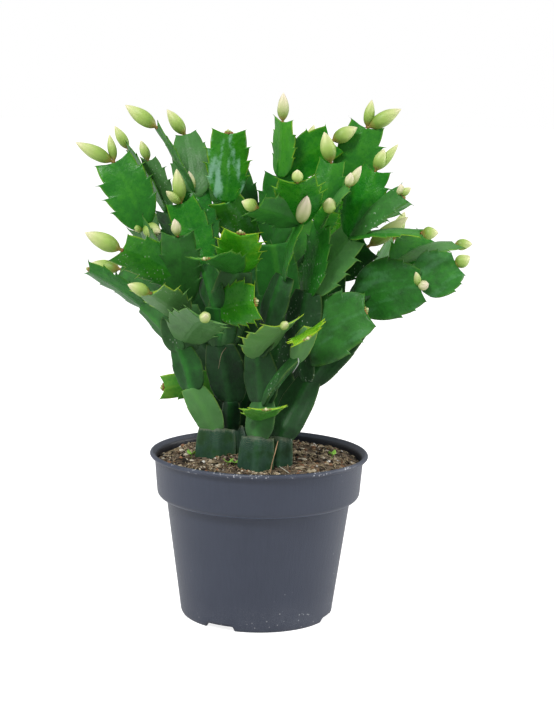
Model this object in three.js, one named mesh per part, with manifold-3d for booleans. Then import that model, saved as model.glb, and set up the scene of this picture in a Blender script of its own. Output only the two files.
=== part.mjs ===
// A Christmas cactus of leaf-like stem segments, growing from six cuttings in a plastic nursery pot.
// Millimetres, +Z up. The pot stands on z = 0, and the group is centred on its own box at the end.
import * as THREE from "three";
import { mergeVertices } from "three/addons/utils/BufferGeometryUtils.js";
import Module from "manifold-3d";

const wasm = await Module();
wasm.setup();

// The pot: radii and heights of its outer wall, band and lip
const POT_HEIGHT = 98.2;
const LIP_RADIUS = 65;
const LIP_HEIGHT = 3;
const BAND_TOP_RADIUS = 62;
const BAND_FOOT_RADIUS = 60.4;
const BAND_FOOT_Z = 75.5;
const BODY_TOP_RADIUS = 54.8;
const BODY_TOP_Z = 70.5;
const BODY_FOOT_RADIUS = 45.9;
const BODY_FOOT_Z = 6;
const FOOT_RADIUS = 45;
const FOOT_WIDTH = 2.2;
const WALL = 1.2;
const FLOOR_Z = 5;
const FLOOR_THICKNESS = 1.6;
const ROUND_SIDES = 32;

// Four shallow gaps in the foot ring, by their middle's angle from the front, and the drainage holes
const FOOT_GAP_ANGLES = [-28, 72, 157, 242];
const FOOT_GAP_SPAN = 23;
const FOOT_GAP_HEIGHT = 3;
const DRAIN_HOLES = 8;
const DRAIN_HOLE_RADIUS = 4;
const DRAIN_RING_RADIUS = 30;

// The soil: its rim's height, how far its middle stands above the rim, and its lumps
const SOIL_RIM_Z = 94;
const SOIL_MOUND = 2.2;
const SOIL_LUMP = 0.7;
const SOIL_RINGS = [0.92, 0.72, 0.5, 0.27];
const CLEARANCE = 0.3;

// The cuttings: how deep they are set, and where the part above the soil begins
const ROOT_DEPTH = 28;
const COLLAR_Z = 100;
const ROOT_SHARE = 0.8;
const ROOT_SIDES = 8;

// A segment starts this far inside the one it grows from
const SUNK = 2.5;
const ARCH = 0.05;

// Outlines of a segment as [share of length, share of half width, share of length at the midrib,
// share of thickness], with the heights of its rim's edges off the flat. A young one has forward
// teeth and two horns round its hollow tip, and a broad one is round, with smaller teeth.
const YOUNG = {
  thickness: 2.8,
  rims: [-0.4, 0.4],
  stations: [
    [0, 0.1, 0, 0.6],
    [0.2, 0.64, 0.2, 1],
    [0.42, 0.98, 0.4, 1],
    [0.46, 0.82, 0.48, 1],
    [0.72, 0.96, 0.68, 1],
    [0.76, 0.72, 0.78, 1],
    [1.03, 0.56, 0.92, 1],
    [0.98, 0.3, 1, 1],
  ],
};
const GROWN = {
  thickness: 5,
  rims: [0],
  stations: [
    [0, 0.14, 0, 0.5],
    [0.25, 0.86, 0.25, 1],
    [0.6, 1, 0.6, 1],
    [1, 0.5, 1, 0.8],
  ],
};
const BROAD = {
  thickness: 2.8,
  rims: [-0.4, 0.4],
  stations: [
    [0, 0.14, 0, 0.6],
    [0.12, 0.68, 0.12, 1],
    [0.42, 1, 0.4, 1],
    [0.7, 0.92, 0.66, 1],
    [0.74, 0.78, 0.75, 1],
    [1.02, 0.5, 0.92, 1],
    [0.97, 0.28, 1, 1],
  ],
};
const OLD = {
  thickness: 8,
  rims: [-1, 1],
  stations: [
    [0, 0.78, 0, 1],
    [0.5, 1, 0.5, 1],
    [1, 0.6, 1, 0.8],
  ],
};

// Tips are written as they are seen, on the upright plane through the pot's axis, from this point,
// and each is slid along its sight line to its own depth, so depth moves nothing in that view.
const EYE = new THREE.Vector3(9.5, -1000, 315);

// One row a segment: name, the segment it grows from, how far along that one, the tip's x and z as
// seen, its depth, width, turn of its face from the viewer in degrees, cupping, and age
const STEMS = {
  stem_left: {
    root: [-26, -9],
    segments: [
      ["a1", "", 1, -28, 111, -7, 24, 0, 0, OLD],
      ["a2", "a1", 1, -41, 136, -8, 18, 15, 0, GROWN],
      ["a3", "a2", 1, -47, 159, -8, 20, 30, 0, GROWN],
      ["a4", "a3", 1, -47, 185, -6, 26, 10, 0, GROWN],
      ["a5", "a3", 1, -70, 184, 4, 20, 55, 0, GROWN],
      ["a6", "a5", 1, -103, 205, 8, 24, 65, 0.1, YOUNG],
      ["a7", "a4", 0.7, -66, 192, -42, 26, 44, 0.3, YOUNG],
      ["a8", "a4", 1, -50, 227, -28, 25, 0, 0.08, YOUNG],
      ["a9", "a8", 0.35, -84, 217, -32, 26, 20, 0.12, YOUNG],
      ["a10", "a8", 0.2, -71, 231, 14, 24, 70, 0, YOUNG],
      ["a11", "a10", 1, -88, 269, 18, 30, 0, -0.08, YOUNG],
      ["a12", "a4", 0.2, -33, 177, -55, 32, -23, 0.12, YOUNG],
    ],
    buds: [
      ["a11", -109.5, 278, -4, 8.5],
      ["a11", -90, 283, 2, 5.5],
      ["a9", -104, 226, -6, 10],
      ["a10", -75, 238, 0, 5],
      ["a10", -59, 223, -10, 8],
      ["a8", -52, 235, -4, 6],
      ["a7", -79, 196, -4, 7.5],
      ["a12", -33, 179, -9, 6.5],
    ],
  },
  stem_middle: {
    root: [-13, 5],
    segments: [
      ["b1", "", 1, -17, 112, 3, 16, 0, 0, OLD],
      ["b2", "b1", 1, -17, 129, -8, 20, 60, 0, GROWN],
      ["b3", "b2", 1, -24, 162, -18, 24, 20, 0, GROWN],
      ["b5", "b3", 1, -26, 184, -22, 20, 14, 0, GROWN],
      ["b6", "b5", 1, -3, 187, -40, 27, 0, 0.15, YOUNG],
      ["b7", "b3", 1, -15, 206, -24, 24, 0, 0, GROWN],
      ["b8", "b7", 1, -13, 228, -40, 27, 0, 0.15, YOUNG],
      ["b9", "b7", 1, -34, 212, -62, 25, 59, 0.24, YOUNG],
      ["b10", "b5", 1, -34, 208, -8, 22, 50, 0, GROWN],
      ["b11", "b10", 1, -49, 246, 2, 23, 0, 0.1, YOUNG],
      ["b12", "b10", 1, -41, 253, 9, 24, 5, -0.08, YOUNG],
      ["b13", "b12", 1, -63, 289, 12, 22, 80, 0, YOUNG],
      ["b14", "b12", 0.88, -46, 285, 26, 24, 10, 0.1, BROAD],
    ],
    buds: [
      ["b13", -81, 300, 0, 9],
      ["b14", -57, 298, 0, 8],
      ["b11", -51, 264, -4, 8],
      ["b11", -57, 251, -8, 5.5],
      ["b12", -44, 263, 0, 5],
    ],
  },
  stem_front: {
    root: [-2, -37],
    segments: [
      ["c1", "", 1, -1, 110, -36, 21, 0, 0, OLD],
      ["c2", "c1", 1, 2, 129, -28, 18, 20, 0, GROWN],
      ["c3", "c2", 0.3, 4, 123, -57, 24, -36, 0.15, YOUNG],
      ["c4", "c2", 1, -2, 157, -26, 22, 25, 0, GROWN],
      ["c5", "c2", 1, 22, 155, -32, 16, 80, 0, GROWN],
      ["c13", "c5", 1, 29, 172, -40, 14, 0, 0, GROWN],
      ["c6", "c13", 1, 27, 166, -66, 22, -45, -0.12, YOUNG],
      ["c7", "c4", 1, 13, 174, -50, 34, -60, 0.25, YOUNG],
      ["c8", "c4", 1, 5, 172, -20, 20, 60, 0, GROWN],
      ["c9", "c8", 1, 13, 203, -22, 20, 40, 0, GROWN],
      ["c10", "c9", 1, 22, 236, -30, 24, 80, 0, YOUNG],
      ["c11", "c10", 1, 19, 259, -62, 28, 0, 0.25, YOUNG],
      ["c12", "c10", 1, -5, 243, -50, 24, 40, 0.1, YOUNG],
    ],
    buds: [
      ["c11", 19, 265, -3, 6.5],
      ["c12", -13, 246, 0, 7.5],
      ["c10", 26, 250, -12, 8.5],
      ["c7", 15, 175, -8, 5],
    ],
  },
  stem_right: {
    root: [11, -30],
    segments: [
      ["d1", "", 1, 12, 110, -28, 17, 10, 0, OLD],
      ["d2", "d1", 1, 29, 142, -14, 20, 15, 0, GROWN],
      ["d3", "d2", 1, 56, 174, -4, 22, 15, 0, GROWN],
      ["d4", "d2", 1, 21, 162, -12, 19, 50, 0, GROWN],
      ["d5", "d4", 1, 63, 184, -32, 41, 25, 0.05, BROAD],
      ["d6", "d4", 1, 27, 194, -14, 24, 25, 0, GROWN],
      ["d7", "d6", 1, 52, 228, -16, 25, 20, 0.08, YOUNG],
      ["d20", "d7", 1, 81, 253, -28, 20, 48, 0.15, YOUNG],
      ["d8", "d6", 1, 34, 235, -24, 20, 60, 0, YOUNG],
      ["d9", "d8", 1, 39, 271, -20, 20, 10, 0.1, YOUNG],
      ["d10", "d8", 1, 50, 257, -36, 22, 78, 0, YOUNG],
      ["d11", "d8", 0.85, 39, 242, -36, 14, 0, 0.2, YOUNG],
      ["d12", "d7", 1, 65, 267, -14, 24, 20, 0.1, YOUNG],
      ["d13", "d7", 1, 94, 230, -34, 24, 80, 0.1, YOUNG],
      ["d14", "d3", 1, 54, 193, -6, 20, 50, 0, GROWN],
      ["d15", "d14", 1, 94, 199, -26, 36, 0, 0.08, BROAD],
      ["d16", "d15", 1, 114, 212, -16, 29, 10, -0.08, BROAD],
      ["d17", "d14", 1, 79, 213, 2, 22, 50, 0, GROWN],
      ["d18", "d17", 1, 96, 228, 24, 22, 20, 0.1, YOUNG],
      ["d19", "d17", 1, 113, 224, 12, 24, 70, 0.1, YOUNG],
    ],
    buds: [
      ["d9", 34, 287, 0, 9],
      ["d10", 52, 265, 0, 5],
      ["d10", 56, 268, 2, 5.5],
      ["d11", 38, 249, -6, 8],
      ["d12", 69, 278, 0, 7.5],
      ["d12", 77, 281, 4, 5.5],
      ["d13", 102, 230, 0, 7.5],
      ["d20", 79, 258, -2, 5],
      ["d20", 85, 256, -2, 4.5],
      ["d19", 122, 224, 0, 7],
      ["d16", 121, 217, 0, 8],
      ["d15", 97, 200, -4, 6],
    ],
  },
  stem_back_left: {
    root: [-12, 20],
    segments: [
      ["e1", "", 1, -14, 114, 22, 24, 0, 0, OLD],
      ["e2", "e1", 1, -19, 140, 28, 26, 10, 0, GROWN],
      ["e3", "e2", 1, -38, 170, 26, 24, 30, 0, GROWN],
      ["e4", "e3", 1, -46, 205, 26, 24, 20, 0, GROWN],
      ["e5", "e4", 1, -57, 241, 28, 24, 40, 0.1, YOUNG],
      ["e6", "e5", 1, -80, 276, 38, 24, 80, 0, YOUNG],
      ["e7", "e5", 1, -68, 270, 22, 22, 55, 0.1, YOUNG],
      ["e8", "e2", 1, -9, 180, 36, 28, 0, 0, GROWN],
      ["e9", "e8", 1, -8, 220, 28, 28, 0, 0, GROWN],
      ["e10", "e9", 1, -23, 247, 5, 20, 0, 0.1, YOUNG],
      ["e11", "e10", 1, -21, 287, -2, 26, 0, 0.1, YOUNG],
      ["e12", "e9", 1, -18, 264, 34, 24, 0, -0.1, YOUNG],
      ["e13", "e2", 1, -59, 135, 18, 20, 20, 0.1, YOUNG],
      ["e14", "e4", 1, -62, 222, 58, 26, 60, -0.15, YOUNG],
      ["e15", "e14", 1, -78, 248, 82, 26, 45, -0.1, YOUNG],
      ["e16", "e3", 1, -60, 182, 54, 26, 70, -0.1, YOUNG],
      ["e17", "e16", 1, -86, 200, 74, 26, 50, -0.15, YOUNG],
      ["e18", "e8", 1, -28, 200, 60, 26, -30, -0.1, YOUNG],
      ["e19", "e18", 1, -40, 228, 84, 26, -10, -0.15, YOUNG],
      ["e20", "e9", 1, -22, 250, 56, 26, 50, -0.1, YOUNG],
      ["e21", "e20", 1, -42, 270, 78, 26, 35, -0.1, YOUNG],
      ["e22", "e4", 1, -80, 224, 50, 26, 70, -0.1, YOUNG],
      ["e23", "e18", 1, -60, 206, 86, 26, 20, -0.15, YOUNG],
      ["e24", "e1", 1, -4, 144, 14, 22, 0, 0, GROWN],
    ],
    buds: [
      ["e6", -87, 288, 0, 6.5],
      ["e7", -72, 280, 0, 6],
      ["e15", -86, 264, 8, 8],
      ["e17", -101, 208, 6, 8.5],
      ["e19", -44, 243, 8, 8],
      ["e21", -48, 284, 6, 6.5],
      ["e22", -94, 231, 6, 7],
    ],
  },
  stem_back_right: {
    root: [9, 22],
    segments: [
      ["f1", "", 1, 11, 114, 24, 19, 20, 0, OLD],
      ["f26", "f1", 1, 7, 147, 22, 24, 10, 0, GROWN],
      ["f2", "f1", 1, 23, 141, 26, 22, 20, 0, GROWN],
      ["f3", "f2", 1, 37, 174, 24, 20, 30, 0, GROWN],
      ["f4", "f3", 1, 42, 206, 18, 22, 30, 0, GROWN],
      ["f5", "f4", 1, 62, 222, 11, 24, 20, 0.1, YOUNG],
      ["f6", "f4", 1, 47, 250, 10, 22, 55, 0, YOUNG],
      ["f7", "f6", 1, 59, 292, 12, 27, 0, 0.1, YOUNG],
      ["f8", "f4", 1, 50, 234, 32, 22, 30, 0, YOUNG],
      ["f9", "f8", 1, 82, 251, 36, 22, 40, 0.1, YOUNG],
      ["f10", "f26", 1, 12, 180, 18, 24, 0, 0, GROWN],
      ["f11", "f10", 1, 6, 222, 10, 26, 0, 0, GROWN],
      ["f12", "f11", 1, 9, 263, 6, 24, 0, -0.08, YOUNG],
      ["f13", "f12", 1, 10, 294, 2, 24, 55, 0.1, YOUNG],
      ["f14", "f12", 1, 40, 283, 6, 26, 10, 0.1, YOUNG],
      ["f15", "f3", 1, 62, 192, 48, 26, -70, -0.1, YOUNG],
      ["f16", "f15", 1, 90, 208, 66, 26, -45, -0.15, YOUNG],
      ["f17", "f15", 1, 76, 226, 74, 26, -70, -0.1, YOUNG],
      ["f18", "f10", 1, 18, 204, 58, 26, 30, -0.1, YOUNG],
      ["f19", "f18", 1, 16, 236, 84, 26, 10, -0.15, YOUNG],
      ["f20", "f11", 1, 8, 253, 48, 26, -60, -0.1, YOUNG],
      ["f21", "f8", 1, 60, 264, 62, 26, -60, -0.1, YOUNG],
      ["f22", "f18", 1, 48, 218, 86, 26, -30, -0.15, YOUNG],
      ["f23", "f20", 1, 24, 276, 74, 26, -40, -0.1, YOUNG],
    ],
    buds: [
      ["f13", 10, 309, 0, 5.5],
      ["f14", 53, 290, 0, 9],
      ["f7", 61, 306, 0, 6.5],
      ["f7", 78, 301, -2, 9],
      ["f5", 84, 239, 4, 9],
      ["f16", 104, 214, 6, 8.5],
      ["f17", 82, 242, 8, 8],
      ["f19", 16, 253, 8, 8],
      ["f21", 64, 280, 6, 6.5],
      ["f22", 55, 232, 10, 7.5],
      ["f23", 28, 291, 6, 7],
    ],
  },
};

// A bud's swelling, as [share of length, share of radius], up to its point
const BUD_RINGS = [
  [0, 0.3],
  [0.34, 0.94],
  [0.62, 0.86],
];
const BUD_SIDES = 5;

const PLASTIC = { color: 0x484d5c, roughness: 0.45, metalness: 0 };
const PEAT = { color: 0x3c2d23, roughness: 0.95, metalness: 0 };
const GREENS = [0x2f7a24, 0x38842a, 0x3a8f2c, 0x2c7436, 0x2a6b2a, 0x2d7030];

const radians = THREE.MathUtils.degToRad;

// A closed geometry as a solid that can be joined and cut
function solid(geometry) {
  const bare = geometry.clone();
  bare.deleteAttribute("normal");
  bare.deleteAttribute("uv");
  const merged = mergeVertices(bare, 1e-4);
  const vertProperties = new Float32Array(merged.attributes.position.array);
  const triVerts = new Uint32Array(merged.index.array);
  return new wasm.Manifold(new wasm.Mesh({ numProp: 3, vertProperties, triVerts }));
}

// A solid as a named mesh in its own material
function mesh(name, body, look) {
  const { vertProperties, triVerts } = body.getMesh();
  const geometry = new THREE.BufferGeometry();
  geometry.setAttribute("position", new THREE.BufferAttribute(vertProperties, 3));
  geometry.setIndex(new THREE.BufferAttribute(triVerts, 1));
  geometry.computeVertexNormals();
  const made = new THREE.Mesh(geometry, new THREE.MeshStandardMaterial(look));
  made.name = name;
  return made;
}

// A profile of [radius, height] pairs turned about the Z axis
function turned(profile) {
  const points = profile.map(([radius, height]) => new THREE.Vector2(radius, height));
  return new THREE.LatheGeometry(points, ROUND_SIDES).rotateX(Math.PI / 2);
}

// Rings of equally many points skinned in order and capped at both ends. From the middle of a ring
// on, the diagonals run the other way, so that a blade's two faces are split alike.
function skinned(rings) {
  const sides = rings[0].length;
  const corner = (ring, side) => ring * sides + (side % sides);
  const index = [];
  for (let ring = 0; ring + 1 < rings.length; ring += 1) {
    for (let side = 0; side < sides; side += 1) {
      const a = corner(ring, side);
      const b = corner(ring, side + 1);
      const c = corner(ring + 1, side + 1);
      const d = corner(ring + 1, side);
      index.push(...(2 * side < sides ? [a, b, c, a, c, d] : [a, b, d, b, c, d]));
    }
  }
  for (let side = 1; side + 1 < sides; side += 1) {
    index.push(0, side + 1, side);
    index.push(corner(rings.length - 1, 0), corner(rings.length - 1, side));
    index.push(corner(rings.length - 1, side + 1));
  }
  const geometry = new THREE.BufferGeometry().setFromPoints(rings.flat());
  geometry.setIndex(index);
  return geometry;
}

function makePot() {
  const lip = POT_HEIGHT - LIP_HEIGHT;
  const profile = [
    [0, FLOOR_Z],
    [FOOT_RADIUS - FOOT_WIDTH - 0.8, FLOOR_Z],
    [FOOT_RADIUS - FOOT_WIDTH, 0],
    [FOOT_RADIUS - 0.6, 0],
    [FOOT_RADIUS + 0.4, 2],
    [BODY_FOOT_RADIUS, BODY_FOOT_Z],
    [BODY_TOP_RADIUS, BODY_TOP_Z],
    [BAND_FOOT_RADIUS - 1.8, BODY_TOP_Z + 1.2],
    [BAND_FOOT_RADIUS - 0.3, BODY_TOP_Z + 2.9],
    [BAND_FOOT_RADIUS, BAND_FOOT_Z],
    [BAND_TOP_RADIUS, lip],
    [LIP_RADIUS - 0.7, lip + 0.3],
    [LIP_RADIUS, lip + 1.5],
    [LIP_RADIUS - 0.7, POT_HEIGHT - 0.3],
    [LIP_RADIUS - 1.8, POT_HEIGHT],
    [BAND_TOP_RADIUS - WALL, lip],
    [BAND_FOOT_RADIUS - WALL, BAND_FOOT_Z + 0.4],
    [BODY_TOP_RADIUS - WALL, BODY_TOP_Z + 1.8],
    [BODY_FOOT_RADIUS - WALL, BODY_FOOT_Z + 2.4],
    [BODY_FOOT_RADIUS - WALL - 1.6, FLOOR_Z + FLOOR_THICKNESS],
    [0, FLOOR_Z + FLOOR_THICKNESS],
  ];
  let pot = solid(turned(profile));
  const gapWidth = 2 * FOOT_RADIUS * Math.tan(radians(FOOT_GAP_SPAN / 2));
  for (const angle of FOOT_GAP_ANGLES) {
    const cutter = new THREE.BoxGeometry(gapWidth, 12, 2 * FOOT_GAP_HEIGHT);
    cutter.translate(0, -FOOT_RADIUS, 0).rotateZ(radians(angle));
    pot = pot.subtract(solid(cutter));
  }
  for (let hole = 0; hole < DRAIN_HOLES; hole += 1) {
    const cutter = new THREE.CylinderGeometry(DRAIN_HOLE_RADIUS, DRAIN_HOLE_RADIUS, 8, 10);
    cutter.rotateX(Math.PI / 2).translate(DRAIN_RING_RADIUS, 0, FLOOR_Z);
    pot = pot.subtract(solid(cutter.rotateZ((2 * Math.PI * (hole + 0.5)) / DRAIN_HOLES)));
  }
  return mesh("pot", pot, PLASTIC);
}

// Height of the soil: a low mound with lumps that fade out towards the pot's wall
function soilHeight(x, y) {
  const share = Math.hypot(x, y) / BAND_TOP_RADIUS;
  const mound = SOIL_MOUND * (1 - share * share);
  const lumps = Math.sin(x / 5.1 + 1) * Math.cos(y / 4.3) + Math.sin((x + 2 * y) / 9.7);
  return SOIL_RIM_Z + mound + SOIL_LUMP * lumps * Math.min(1, 6 * (1 - share));
}

function makeSoil(pegs) {
  const inner = WALL + CLEARANCE;
  const top = BAND_TOP_RADIUS - inner - 0.6;
  const below = [
    [0, FLOOR_Z + FLOOR_THICKNESS + CLEARANCE],
    [BODY_FOOT_RADIUS - inner - 2, FLOOR_Z + FLOOR_THICKNESS + CLEARANCE],
    [BODY_FOOT_RADIUS - inner - 0.2, BODY_FOOT_Z + 2.8],
    [BODY_TOP_RADIUS - inner - 0.2, BODY_TOP_Z + 2.6],
    [BAND_FOOT_RADIUS - inner - 1, BAND_FOOT_Z],
    [top, SOIL_RIM_Z],
  ];
  const rings = SOIL_RINGS.map((share) => [share * top, SOIL_RIM_Z + SOIL_MOUND]);
  const geometry = turned([...below, ...rings, [0, SOIL_RIM_Z + SOIL_MOUND]]);
  const points = geometry.attributes.position;
  for (let i = 0; i < points.count; i += 1) {
    if (points.getZ(i) > SOIL_RIM_Z - 0.1) {
      points.setZ(i, soilHeight(points.getX(i), points.getY(i)));
    }
  }
  return mesh("soil", pegs.reduce((soil, peg) => soil.subtract(peg), solid(geometry)), PEAT);
}

// The point at a depth on the sight line through (x, 0, z)
function seenAt(x, z, depth) {
  const point = new THREE.Vector3(x, 0, z);
  return point.sub(EYE).multiplyScalar((depth - EYE.y) / -EYE.y).add(EYE);
}

// A segment's base, tip, length and its three directions: along, across its face, and off its face
function placed(row, root, others) {
  const [, parent, share, x, z, depth, width, turn, cup, age] = row;
  const from = others.get(parent);
  const base = from
    ? onSegment(from, Math.min(share, 1 - SUNK / from.length), 0, 0)
    : new THREE.Vector3(root[0], root[1], COLLAR_Z);
  const tip = seenAt(x, z, depth);
  const along = tip.clone().sub(base).normalize();
  const sight = base.clone().add(tip).multiplyScalar(0.5).sub(EYE).normalize();
  const level = sight.cross(along).normalize();
  const across = level.applyAxisAngle(along, radians(-turn));
  const off = along.clone().cross(across);
  const length = tip.distanceTo(base);
  return { base, tip, along, across, off, length, width, cup, age };
}

// A point of a segment: along its midrib, which arches upwards where the segment leans, then out
// across its face, with the rims lifted off the flat by the cupping, and off the face by height
function onSegment(segment, alongShare, acrossShare, height) {
  const { base, along, across, off, length, width, cup } = segment;
  const up = new THREE.Vector3(0, 0, 1).addScaledVector(along, -along.z);
  const arch = ARCH * length * Math.sin(Math.PI * THREE.MathUtils.clamp(alongShare, 0, 1));
  const lift = cup * (width / 2) * acrossShare * acrossShare + height;
  return base
    .clone()
    .addScaledVector(along, length * alongShare)
    .addScaledVector(up, arch)
    .addScaledVector(across, (width / 2) * acrossShare)
    .addScaledVector(off, lift);
}

function segmentSolid(segment) {
  const { thickness, rims, stations } = segment.age;
  const rings = stations.map(([share, half, midShare, thick]) => {
    const rib = (thick * thickness) / 2;
    return [
      onSegment(segment, share, -half, rims[0]),
      onSegment(segment, midShare, 0, -rib),
      ...rims.map((height) => onSegment(segment, share, half, height)),
      onSegment(segment, midShare, 0, rib),
      ...rims.slice(1).map((height) => onSegment(segment, share, -half, height)),
    ];
  });
  return solid(skinned(rings));
}

// A bud: rings round the line from inside the segment's tip to the bud's own point
function budSolid(segment, [, x, z, step, diameter]) {
  const depth = segment.tip.y + step;
  const point = seenAt(x, z, depth);
  const along = point.clone().sub(segment.tip).normalize();
  const start = segment.tip.clone().addScaledVector(segment.along, -SUNK);
  const length = point.distanceTo(start);
  const side = new THREE.Vector3(0, 1, 0).cross(along).normalize();
  const other = along.clone().cross(side);
  const ring = ([share, radius]) =>
    Array.from({ length: BUD_SIDES }, (_, i) => {
      const angle = (2 * Math.PI * i) / BUD_SIDES;
      return start
        .clone()
        .addScaledVector(along, share * length)
        .addScaledVector(side, (radius * diameter * Math.cos(angle)) / 2)
        .addScaledVector(other, (radius * diameter * Math.sin(angle)) / 2);
    });
  return solid(skinned([...BUD_RINGS, [1, 0.08]].map(ring)));
}

// The buried end of a cutting: a flattened peg, larger all round by the given clearance for its hole
function pegSolid(root, first, clearance) {
  const half = (ROOT_SHARE * first.width) / 2 + clearance;
  const thick = first.age.thickness / 2 - 0.6 + clearance;
  const height = COLLAR_Z + 3 - (SOIL_RIM_Z - ROOT_DEPTH) + 2 * clearance;
  const peg = new THREE.CylinderGeometry(1, 1, height, ROOT_SIDES);
  peg.rotateX(Math.PI / 2).scale(half, thick, 1);
  peg.rotateZ(Math.atan2(first.across.y, first.across.x));
  peg.translate(root[0], root[1], SOIL_RIM_Z - ROOT_DEPTH - clearance + height / 2);
  return solid(peg);
}

function growStem({ root, segments, buds }) {
  const grown = new Map();
  for (const row of segments) {
    grown.set(row[0], placed(row, root, grown));
  }
  const first = grown.get(segments[0][0]);
  const solids = [pegSolid(root, first, 0)];
  for (const segment of grown.values()) {
    solids.push(segmentSolid(segment));
  }
  for (const row of buds) {
    solids.push(budSolid(grown.get(row[0]), row));
  }
  return { body: solids.reduce((all, next) => all.add(next)), hole: pegSolid(root, first, CLEARANCE) };
}

const plant = new THREE.Group();
const holes = [];
Object.entries(STEMS).forEach(([name, rows], i) => {
  const { body, hole } = growStem(rows);
  holes.push(hole);
  plant.add(mesh(name, body, { color: GREENS[i], roughness: 0.5, metalness: 0 }));
});
plant.add(makePot(), makeSoil(holes));

const middle = new THREE.Box3().setFromObject(plant).getCenter(new THREE.Vector3());
plant.position.set(-middle.x, -middle.y, 0);

const part = new THREE.Group();
part.add(plant);

export default part;
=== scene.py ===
"""A christmas cactus in a nursery pot. Its fine pot, soil, leafy stems and buds go round the solids
of the frame, with the camera, floor and lights of a plain studio."""
import math

import bpy
import numpy as np
from mathutils import Matrix, Vector


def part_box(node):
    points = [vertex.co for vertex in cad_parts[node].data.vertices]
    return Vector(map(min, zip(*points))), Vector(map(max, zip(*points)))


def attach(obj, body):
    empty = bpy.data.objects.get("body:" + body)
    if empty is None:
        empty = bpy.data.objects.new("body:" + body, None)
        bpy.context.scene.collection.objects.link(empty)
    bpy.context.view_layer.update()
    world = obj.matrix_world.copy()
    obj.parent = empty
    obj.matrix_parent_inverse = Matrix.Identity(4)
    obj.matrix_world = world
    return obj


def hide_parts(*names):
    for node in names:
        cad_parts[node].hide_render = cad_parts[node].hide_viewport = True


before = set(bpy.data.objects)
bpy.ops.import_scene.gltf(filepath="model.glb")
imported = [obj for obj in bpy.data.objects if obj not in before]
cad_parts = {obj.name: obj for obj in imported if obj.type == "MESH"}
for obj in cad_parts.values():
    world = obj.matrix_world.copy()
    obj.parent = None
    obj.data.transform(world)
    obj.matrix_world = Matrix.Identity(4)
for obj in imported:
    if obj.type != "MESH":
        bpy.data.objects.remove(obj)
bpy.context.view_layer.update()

# Every size below is in millimetres from the pot's axis, which stands in the middle of its node
MM = 0.001
BODY = "root"
pot_low, pot_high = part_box("pot")
AXIS = np.array([(pot_low.x + pot_high.x) / 2, (pot_low.y + pot_high.y) / 2, 0]) / MM

# The eye: its place, its tilt down and its roll in degrees, and its lens
EYE = np.array([9.5, -1000.0, 315.0])
EYE_PITCH = 9.264
EYE_ROLL = 1.199
LENS = 85.39
SENSOR_WIDTH = 36
# Half the side of the studio's floor, in metres
FLOOR_HALF = 12

# The pot
POT_HEIGHT = 98.2
LIP_RADIUS = 65.0
LIP_Z = 95.2
BAND_TOP_RADIUS = 62.0
BAND_FOOT_RADIUS = 60.4
BAND_FOOT_Z = 75.5
BODY_TOP_RADIUS = 54.8
BODY_TOP_Z = 70.5
BODY_FOOT_RADIUS = 45.9
BODY_FOOT_Z = 6.0
FOOT_RADIUS = 45.0
FOOT_WIDTH = 2.2
WALL = 1.2
FLOOR_Z = 5.0
FLOOR_THICKNESS = 1.6
FOOT_GAP_ANGLES = [-28, 72, 157, 242]
FOOT_GAP_SPAN = 23.0
FOOT_GAP_HEIGHT = 3.0
DRAIN_HOLES = 8
DRAIN_HOLE_RADIUS = 4.0
DRAIN_RING_RADIUS = 30.0
POT_SIDES = 256
# A turned shape is closed by a fan inside this radius
POLE = 0.4

# The soil, whose rim has sunk at the wall
SOIL_RIM_Z = 94.0
SOIL_MOUND = 2.2
SOIL_SUNK = 2.6
SOIL_RADIUS = 59.9
SOIL_SIDES = 256

# A segment starts this far inside the one it grows from, and arches by this share where it leans.
# A cutting's buried end reaches this deep, and its first segment starts at this height.
SUNK = 2.5
ARCH = 0.05
ROOT_DEPTH = 28.0
STUB_Z = 88.0

# Ages of segment. Half thickness of the blade, height and half width of the midrib; where its teeth
# point, as shares of its length; depth of its notches and length of its hooks, as shares of half its
# width; the outline's swelling as [floor, reach, start, span, power]; the rim's way across the tip as
# [share of length, share of half width]; and its woodiness.
YOUNG = {
    "blade": 0.9,
    "rib": [0.6, 2.0],
    "teeth": [0.36, 0.56, 0.77, 1.03],
    "notch": 0.13,
    "hook": 0.2,
    "swelling": [0.12, 0.88, 0.03, 0.77, 0.72],
    "tip": [[0.985, 0.5], [0.965, 0.34], [0.955, 0.18], [0.952, 0.06]],
    "wood": 0.0,
}
BROAD = {
    "blade": 1.0,
    "rib": [0.5, 2.2],
    "teeth": [0.6, 0.8, 1.015],
    "notch": 0.06,
    "hook": 0.09,
    "swelling": [0.12, 0.88, 0.02, 0.91, 0.55],
    "tip": [[0.985, 0.34], [0.972, 0.24], [0.965, 0.14], [0.962, 0.06]],
    "wood": 0.0,
}
GROWN = {
    "blade": 1.6,
    "rib": [1.7, 2.6],
    "teeth": [0.35, 0.7, 1.0],
    "notch": 0.02,
    "hook": 0.01,
    "swelling": [0.2, 0.8, 0.06, 0.78, 0.6],
    "tip": [[1.004, 0.46], [1.0, 0.32], [0.996, 0.16], [0.994, 0.06]],
    "wood": 0.12,
}
OLD = {
    "blade": 3.0,
    "rib": [1.7, 2.7],
    "teeth": [0.5, 1.0],
    "notch": 0.0,
    "hook": 0.0,
    "swelling": [0.4, 0.6, 0.3, 0.46, 0.6],
    "tip": [[0.995, 0.68], [1.015, 0.47], [1.025, 0.25], [1.03, 0.07]],
    "wood": 1.0,
}
# Points round a segment, and up the rise to a tooth
SIDES = 28
RISE_STEPS = 13
VEIN_SPACING = 7.5
# The colours of buds, from green to white
GREEN, PALE = 0.0, 0.75
# How strongly a painted sheen, a pale streaked highlight, is laid on each of a few segments, from 0 to
# 1
PAINTED_GLEAMS = {"e11": 1.0, "e10": 0.25, "e9": 0.25, "d5": 0.1, "d15": 0.1, "d16": 0.12}

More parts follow.
